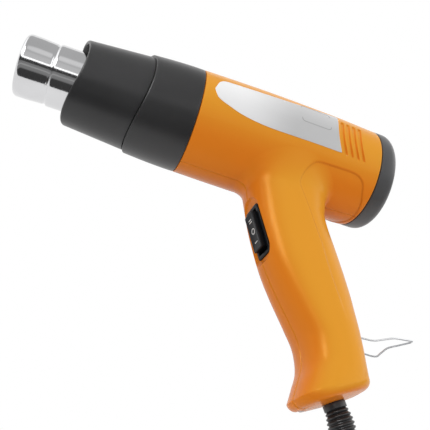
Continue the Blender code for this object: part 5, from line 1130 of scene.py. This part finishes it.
class HOTAIR_OT_front(bpy.types.Operator):
    """Steel nozzle, front guard, collar and rear cap"""

    bl_idname = "hotair.front"
    bl_label = "Nozzle, guard, collar and cap"

    def execute(self, context):
        self.nozzle()
        self.guard()
        self.collar()
        self.cap()
        return {"FINISHED"}

    def nozzle(self):
        """Turned tube: rolled lip of radius 3, swaged bead, and a wider rear part with a flange."""
        turn = np.linspace(0.0, math.pi / 2.0, 12)
        lip = [(3.0 - 3.0 * math.cos(a), 14.25 + 3.0 * math.sin(a)) for a in turn]
        outer = lip + [(8.0, 17.25), (15.6, 17.25), (16.2, 17.22), (16.6, 17.05), (16.95, 16.82), (17.4, 16.75),
                       (17.8, 16.95), (18.2, 17.4), (18.6, 17.75), (19.1, 17.88), (19.8, 17.9), (30.0, 17.9),
                       (50.0, 17.9), (68.1, 17.9), (68.1, 23.6), (69.1, 23.6), (69.1, 17.1)]
        inner = [(50.0, 17.1), (30.0, 17.1), (19.8, 17.1), (19.0, 17.0), (18.2, 16.6), (17.5, 16.0), (16.9, 16.0),
                 (16.2, 16.4), (15.6, 16.45), (8.0, 16.45)]
        inner += [(3.0 - 2.2 * math.cos(a), 14.25 + 2.2 * math.sin(a)) for a in turn[::-1]]
        profile = np.array(outer + inner)
        start = profile[:, 0].copy()
        profile[:, 0] -= NOZZLE_FORWARD * (1.0 - ease(start / 15.0))
        flare = NOZZLE_FLARE * (1.0 - ease((start - 8.0) / 8.0))
        profile[:, 1] += np.where(start < 68.0, NOZZLE_WIDER, 0.0) + flare
        place_tube(turned(profile, 200), "steel_nozzle", "chrome", "tool", ("nozzle",),
                   closed=True)

    def guard(self):
        """Hollow cone whose front and rear edges sway with cos(2 angle), front edge rounded by 1.1 mm."""
        front, rear, wall = GUARD_FRONT, GUARD_REAR, GUARD_WALL

        slope = (GUARD_REAR_RADIUS - GUARD_FRONT_RADIUS) / (70.0 - front)

        def radius(x):
            return GUARD_FRONT_RADIUS + (x - front) * slope

        turn = np.linspace(0.0, math.pi / 2.0, 8)
        nose = [(front + 1.1 - 1.1 * math.sin(math.pi / 2.0 - a),
                 radius(front + 1.1) - 1.1 + 1.1 * math.sin(a)) for a in turn]
        along = [(x, radius(x)) for x in np.linspace(front + 2.0, rear - 0.4, 18)]
        tail = [(rear - 0.1, radius(rear) - 0.08), (rear, radius(rear) - 0.35)]
        inside = [(rear, radius(rear) - wall), (62.3, radius(62.3) - wall), (45.0, radius(45.0) - wall),
                  (front + 1.4, radius(front + 1.4) - wall), (front + 0.5, radius(front) - wall + 0.15),
                  (front, radius(front) - wall + 0.6)]
        profile = nose + along + tail + inside
        wave = [GUARD_SWAY + 0.1 * (x - front) / (rear - front) for x, _ in profile]
        place_tube(turned(profile, 200, wave), "guard_shell", "guard_plastic", "tool", ("front_guard",),
                   closed=True)

    def collar(self):
        """Ring behind the guard: swayed front edge, spigot under the guard and a step inside the housing."""
        profile = [(62.3, 24.4), (62.3, 26.2), (70.0, 26.6), (70.0, 30.2), (70.08, 30.55), (70.3, 30.8),
                   (70.7, 30.9)]
        profile += [(x, 30.9 + (32.5 - 30.9) * math.sin((x - 70.7) / 31.0 * math.pi / 2.0))
                    for x in np.linspace(74.0, 101.2, 14)]
        profile += [(101.5, 32.4), (101.68, 32.1), (101.7, 31.6), (101.7, 29.6), (108.6, 29.6), (108.6, 27.4),
                    (74.0, 27.4), (73.2, 18.6), (69.8, 18.6), (69.8, 24.4)]
        wave = [0.0, 0.0] + [COLLAR_SWAY] * 5
        wave += [COLLAR_SWAY * (1.0 - (x - 70.7) / 31.0) for x in np.linspace(74.0, 101.2, 14)]
        wave += [0.0] * (len(profile) - len(wave))
        place_tube(turned(profile, 200, wave), "collar_shell", "guard_plastic", "tool", ("rear_collar",),
                   closed=True)

    def cap(self):
        """Cap with a rounded rim and six intake slots in its rear face, which leans by CAP_LEAN."""
        edge, rim, inside = CAP_EDGE, BARREL_REAR_RADIUS, CAP_EDGE - CAP_WALL
        turn = np.linspace(0.0, math.pi / 2.0, 14)
        arc = [(CAP_END - edge + edge * math.sin(a), rim - edge + edge * math.cos(a)) for a in turn]
        inner = [(CAP_END - edge + inside * math.sin(a), rim - edge + inside * math.cos(a))
                 for a in turn[::-1][:-1]]
        profile = [(CAP_START, 28.6), (CAP_START, rim - 0.5), (CAP_START + 0.12, rim - 0.15),
                   (CAP_START + 0.45, rim)] + arc
        profile += [(CAP_END, r) for r in (18.0, 9.0, 0.0)]
        profile += [(CAP_END - CAP_WALL, r) for r in (0.0, 9.0, 18.0)]
        profile += inner + [(222.0, 27.0), (213.0, 27.0), (213.0, 28.6)]
        grid = turned(profile, 160)
        far = np.hypot(grid[..., 1], grid[..., 2])
        grown = barrel_radius(np.minimum(grid[..., 0], BARREL_END), grid[..., 1] / np.maximum(far, 1.0)) - rim
        grow = 1.0 + np.maximum(grown, 0.0) / rim * ease((far - 27.5) / 2.0)
        grid = grid * np.stack([np.ones_like(grow), grow, grow], axis=-1)
        grid[..., 0] -= CAP_LEAN * grid[..., 2] * ease((grid[..., 0] - 221.0) / 7.0)
        mesh = Skin().tube(grid, closed=True).mesh("cap_shell")
        cuts = []
        for i in range(6):
            z = (i - 2.5) * 6.0
            half = math.sqrt(21.0 ** 2 - z ** 2)
            loop = rounded_loop(half, 1.5, 1.45, 8)
            rings = np.array([[(x, u, z + v) for u, v in loop] for x in (CAP_END - 6.5, CAP_END + 5.0)])
            cuts.append(Skin().tube(rings).mesh("slot"))
        mesh = applied(mesh, cuts)
        place(mesh, "cap_shell", "cap_plastic", "tool", ("rear_cap",), 40.0)


class HOTAIR_OT_label(bpy.types.Operator):
    """Bare foil label on the left side, with a thin frame"""

    bl_idname = "hotair.label"
    bl_label = "Label"

    def execute(self, context):
        proud = context.scene.hotair_sizes.label_proud * 1000.0
        lower = catmull(LABEL_LOWER, 8)
        upper = catmull(LABEL_UPPER, 8)
        tip = catmull((LABEL_LOWER[1], LABEL_LOWER[0], (108.0, 1.0), LABEL_UPPER[0], LABEL_UPPER[1]), 8)
        turn = np.linspace(-22.6, 30.6, 30)
        rear = np.stack([188.6 + vent_bow(33.0 * np.sin(np.radians(turn))), turn], axis=1)
        outline = np.vstack([lower[9:], rear, upper[9:][::-1], tip[8:-8][::-1]])
        flat = np.stack([outline[:, 0], np.radians(outline[:, 1]) * LABEL_RADIUS], axis=1)
        flat = even(np.vstack([flat, flat[:1]]), 400)[:-1]
        centre = np.array((156.0, 2.0))
        size = np.linalg.norm(flat - centre, axis=1)
        rings = []
        for inset, lift in ((0.0, -0.35), (0.0, 0.6 * proud), (0.08, 0.9 * proud), (0.25, proud)):
            rings.append((centre + (flat - centre) * (1.0 - inset / size)[:, None], lift))
        for share in np.linspace(0.96, 0.0, 34):
            rings.append((centre + (flat - centre) * share, proud))
        top = np.array([self.on_barrel(ring, lift) for ring, lift in rings])
        under = np.array([self.on_barrel(centre + (flat - centre) * share, -0.35) for share in (0.5, 0.0)])
        rows = np.concatenate([under[::-1], top])
        place_tube(rows, "label_foil", "label", "tool", ("label_plate",))
        self.frame(proud)
        return {"FINISHED"}

    def on_barrel(self, flat, lift):
        """Points (x, arc) on the barrel's left side, lifted outward."""
        angle = flat[:, 1] / LABEL_RADIUS
        radius = barrel_radius(flat[:, 0], -np.cos(angle)) + lift
        return np.stack([flat[:, 0], -radius * np.cos(angle), radius * np.sin(angle)], axis=1)

    def frame(self, proud):
        """Thin printed frame near the label's rear: a flat strip round a rounded rectangle."""
        loop = rounded_loop(*LABEL_FRAME_HALF, 2.2, 10)
        rings = []
        for width, lift in ((0.0, -0.02), (0.0, 0.10), (0.45, 0.10), (0.45, -0.02)):
            scaled = loop * (1.0 - width / np.linalg.norm(loop, axis=1))[:, None]
            rings.append(self.on_barrel(scaled + np.array(LABEL_FRAME_PLACE), proud + lift))
        place_tube(rings, "label_frame", "label_line", "tool", (), closed=True)


class HOTAIR_OT_switch(bpy.types.Operator):
    """Switch bezel, rocker and its marks"""

    bl_idname = "hotair.switch"
    bl_label = "Switch"

    def execute(self, context):
        self.bezel()
        self.rocker()
        return {"FINISHED"}

    def bezel(self):
        """Closed frame: rounded rectangles that go up the rim, over its face and down the can's window."""
        stations = ((-0.1, 0.0), (0.5, 0.0), (0.8, 0.06), (0.98, 0.22), (1.05, 0.5), (1.05, 1.1),
                    (1.03, 1.8), (0.95, 2.1), (0.7, 2.26), (0.1, 2.32), (-3.0, 2.34), (-15.5, 2.34),
                    (-16.4, 2.34), (-16.4, 1.5), (-3.0, 1.5), (-0.1, 1.5))
        rings = []
        for out, inset in stations:
            loop = rounded_loop(BEZEL_HALF[0] - inset, BEZEL_HALF[1] - inset, max(0.35, 1.4 - inset * 0.4), 6)
            rings.append([switch_point(out, u, v) for u, v in loop])
        place_tube(rings, "switch_frame", "switch_plastic", "tool", ("switch_body",),
                   closed=True)

    def top(self, across, down):
        """Height of the rocker's face: two shallow hollows that meet in a low ridge."""
        share = np.abs(down) / ROCKER_HALF[1]
        hollow = 0.30 * (1.0 - (across / ROCKER_HALF[0]) ** 2) * np.sin(np.clip(share, 0.0, 1.0) * math.pi)
        return ROCKER_HEIGHT + 0.45 * share ** 1.6 - hollow

    def rocker(self):
        """Rounded block: nested rounded rectangles whose heights follow the face, closed below."""
        rings = []
        for inset, drop in ((0.5, -6.0), (0.3, -4.2), (0.0, -2.2), (0.0, -0.5), (0.08, -0.22), (0.25, -0.06),
                            (0.5, 0.0)):
            loop = rounded_loop(ROCKER_HALF[0] - inset, ROCKER_HALF[1] - inset, 0.7, 6)
            rings.append([switch_point(self.top(u, v) + drop, u, v) for u, v in loop])
        for share in np.linspace(0.97, 0.03, 26):
            loop = rounded_loop(ROCKER_HALF[0] - 0.5, ROCKER_HALF[1] - 0.5, 0.7, 6) * share
            rings.append([switch_point(self.top(u, v), u, v) for u, v in loop])
        place_tube(rings, "rocker_key", "switch_plastic", "rocker", ("switch_rocker",))
        marks = Skin()
        for down in (-7.7, -6.3, 6.5):
            self.bar(marks, down)
        self.zero(marks)
        place(marks.mesh("rocker_marks"), "rocker_marks", "mark", "rocker", (), 40.0)

    def bar(self, marks, down):
        """One raised stroke across the rocker."""
        loop = rounded_loop(1.7, 0.30, 0.16, 3)
        rings = []
        for lift, inset in ((-0.05, 0.0), (0.08, 0.0), (0.10, 0.04)):
            rings.append([switch_point(self.top(u, down + v) + lift, u * (1 - inset), down + v * (1 - inset))
                          for u, v in loop])
        marks.tube(np.array(rings))

    def zero(self, marks):
        """A raised ring in the middle."""
        angle = np.linspace(0.0, 2.0 * math.pi, 40, endpoint=False)
        rings = []
        for grow, lift in ((0.27, -0.05), (0.27, 0.09), (-0.27, 0.09), (-0.27, -0.05)):
            u = (1.75 + grow) * np.cos(angle)
            v = -0.45 + (1.55 + grow) * np.sin(angle)
            rings.append([switch_point(self.top(a, b) + lift, a, b) for a, b in zip(u, v)])
        marks.tube(np.array(rings), closed=True)


class HOTAIR_OT_fittings(bpy.types.Operator):
    """Wire stand and strain relief"""

    bl_idname = "hotair.fittings"
    bl_label = "Stand and strain relief"

    def execute(self, context):
        self.stand(context.scene.hotair_sizes.wire * 1000.0)
        self.relief()
        return {"FINISHED"}

    def stand(self, radius):
        """One bent wire, its ends turned outward into the handle."""
        line = even(catmull(np.array(WIRE_LINE), 10), 260)
        place_tube(swept(line, radius, 14), "stand_loop", "bright_steel", "stand", ("stand_wire",),
                   60.0)

    def relief(self):
        """Plain round collar, then close ribs on a line that bends evenly."""
        stations = [(-5.0, 4.2), (-5.0, 5.9), (-3.5, 6.0), (-3.4, 4.8), (-0.3, 4.8), (-0.3, 5.75), (-0.15, 5.95),
                    (0.1, 6.0), (2.6, 6.0), (2.85, 5.95), (3.0, 5.7), (3.0, 5.0)]
        first = 3.0
        pitch = (RELIEF_COLLAR_END + RELIEF_TAIL - first) / RELIEF_RIBS
        for i in range(RELIEF_RIBS):
            top = 6.1 + 0.9 * math.sin(min(i / 3.0, 1.0) * math.pi / 2.0) - 1.9 * max(0.0, i - 4.0) / 11.0
            start = first + pitch * i
            for share, fall in ((0.10, 0.85), (0.22, 0.80), (0.34, 0.45), (0.42, 0.15), (0.52, 0.02),
                                (0.62, 0.0), (0.74, 0.03), (0.86, 0.22), (0.94, 0.5), (1.0, 0.8)):
                stations.append((start + pitch * share, top - fall))
        stations += [(RELIEF_COLLAR_END + RELIEF_TAIL, 3.9)]
        angle = np.linspace(0.0, 2.0 * math.pi, 72, endpoint=False)
        across = np.array((math.cos(END_RAKE), 0.0, math.sin(END_RAKE)))
        rings = []
        for distance, radius in stations:
            point, heading = relief_place(distance)
            upward = unit(np.cross(heading, across))
            rings.append(point + radius * (across * np.cos(angle)[:, None] + upward * np.sin(angle)[:, None]))
        place_tube(rings, "relief_sleeve", "relief_rubber", "tool", ("strain_relief",), 50.0)


class HOTAIR_OT_carried(bpy.types.Operator):
    """Materials of the pieces that keep their CAD shape"""

    bl_idname = "hotair.carried"
    bl_label = "Carried pieces"

    def execute(self, context):
        for node in frame["nodes"].values():
            for slot in node.material_slots:
                name = slot.material.name.split(".")[0] if slot.material else ""
                if name not in MATERIALS:
                    raise RuntimeError("no look for material %r of %s" % (name, node.name))
                slot.material = MATERIALS[name]
        return {"FINISHED"}


class HOTAIR_PT_panel(bpy.types.Panel):
    """Sizes, colours and one button for each group of pieces"""

    bl_label = "Hot air tool"
    bl_idname = "HOTAIR_PT_panel"
    bl_space_type = "VIEW_3D"
    bl_region_type = "UI"
    bl_category = "Hot air tool"

    def draw(self, context):
        for group in (context.scene.hotair_sizes, context.scene.hotair_looks):
            for name in group.bl_rna.properties.keys():
                if name not in ("rna_type", "name"):
                    self.layout.prop(group, name)
        for operator in OPERATORS:
            self.layout.operator(operator.bl_idname)


OPERATORS = (HOTAIR_OT_stage, HOTAIR_OT_cord, HOTAIR_OT_carried, HOTAIR_OT_housing, HOTAIR_OT_front,
             HOTAIR_OT_label, HOTAIR_OT_switch, HOTAIR_OT_fittings)
CLASSES = (HOTAIR_PG_looks, HOTAIR_PG_sizes) + OPERATORS + (HOTAIR_PT_panel,)
MATERIALS = {}


def register():
    """Register the classes and their settings."""
    for item in CLASSES:
        bpy.utils.register_class(item)
    bpy.types.Scene.hotair_looks = bpy.props.PointerProperty(type=HOTAIR_PG_looks)
    bpy.types.Scene.hotair_sizes = bpy.props.PointerProperty(type=HOTAIR_PG_sizes)


def unregister():
    """Remove the settings and classes."""
    del bpy.types.Scene.hotair_sizes
    del bpy.types.Scene.hotair_looks
    for item in reversed(CLASSES):
        bpy.utils.unregister_class(item)


def main():
    """Build every piece."""
    register()
    MATERIALS.update(make_materials(bpy.context.scene.hotair_looks))
    for operator in OPERATORS:
        group, name = operator.bl_idname.split(".")
        getattr(getattr(bpy.ops, group), name)()


if __name__ == "__main__":
    main()
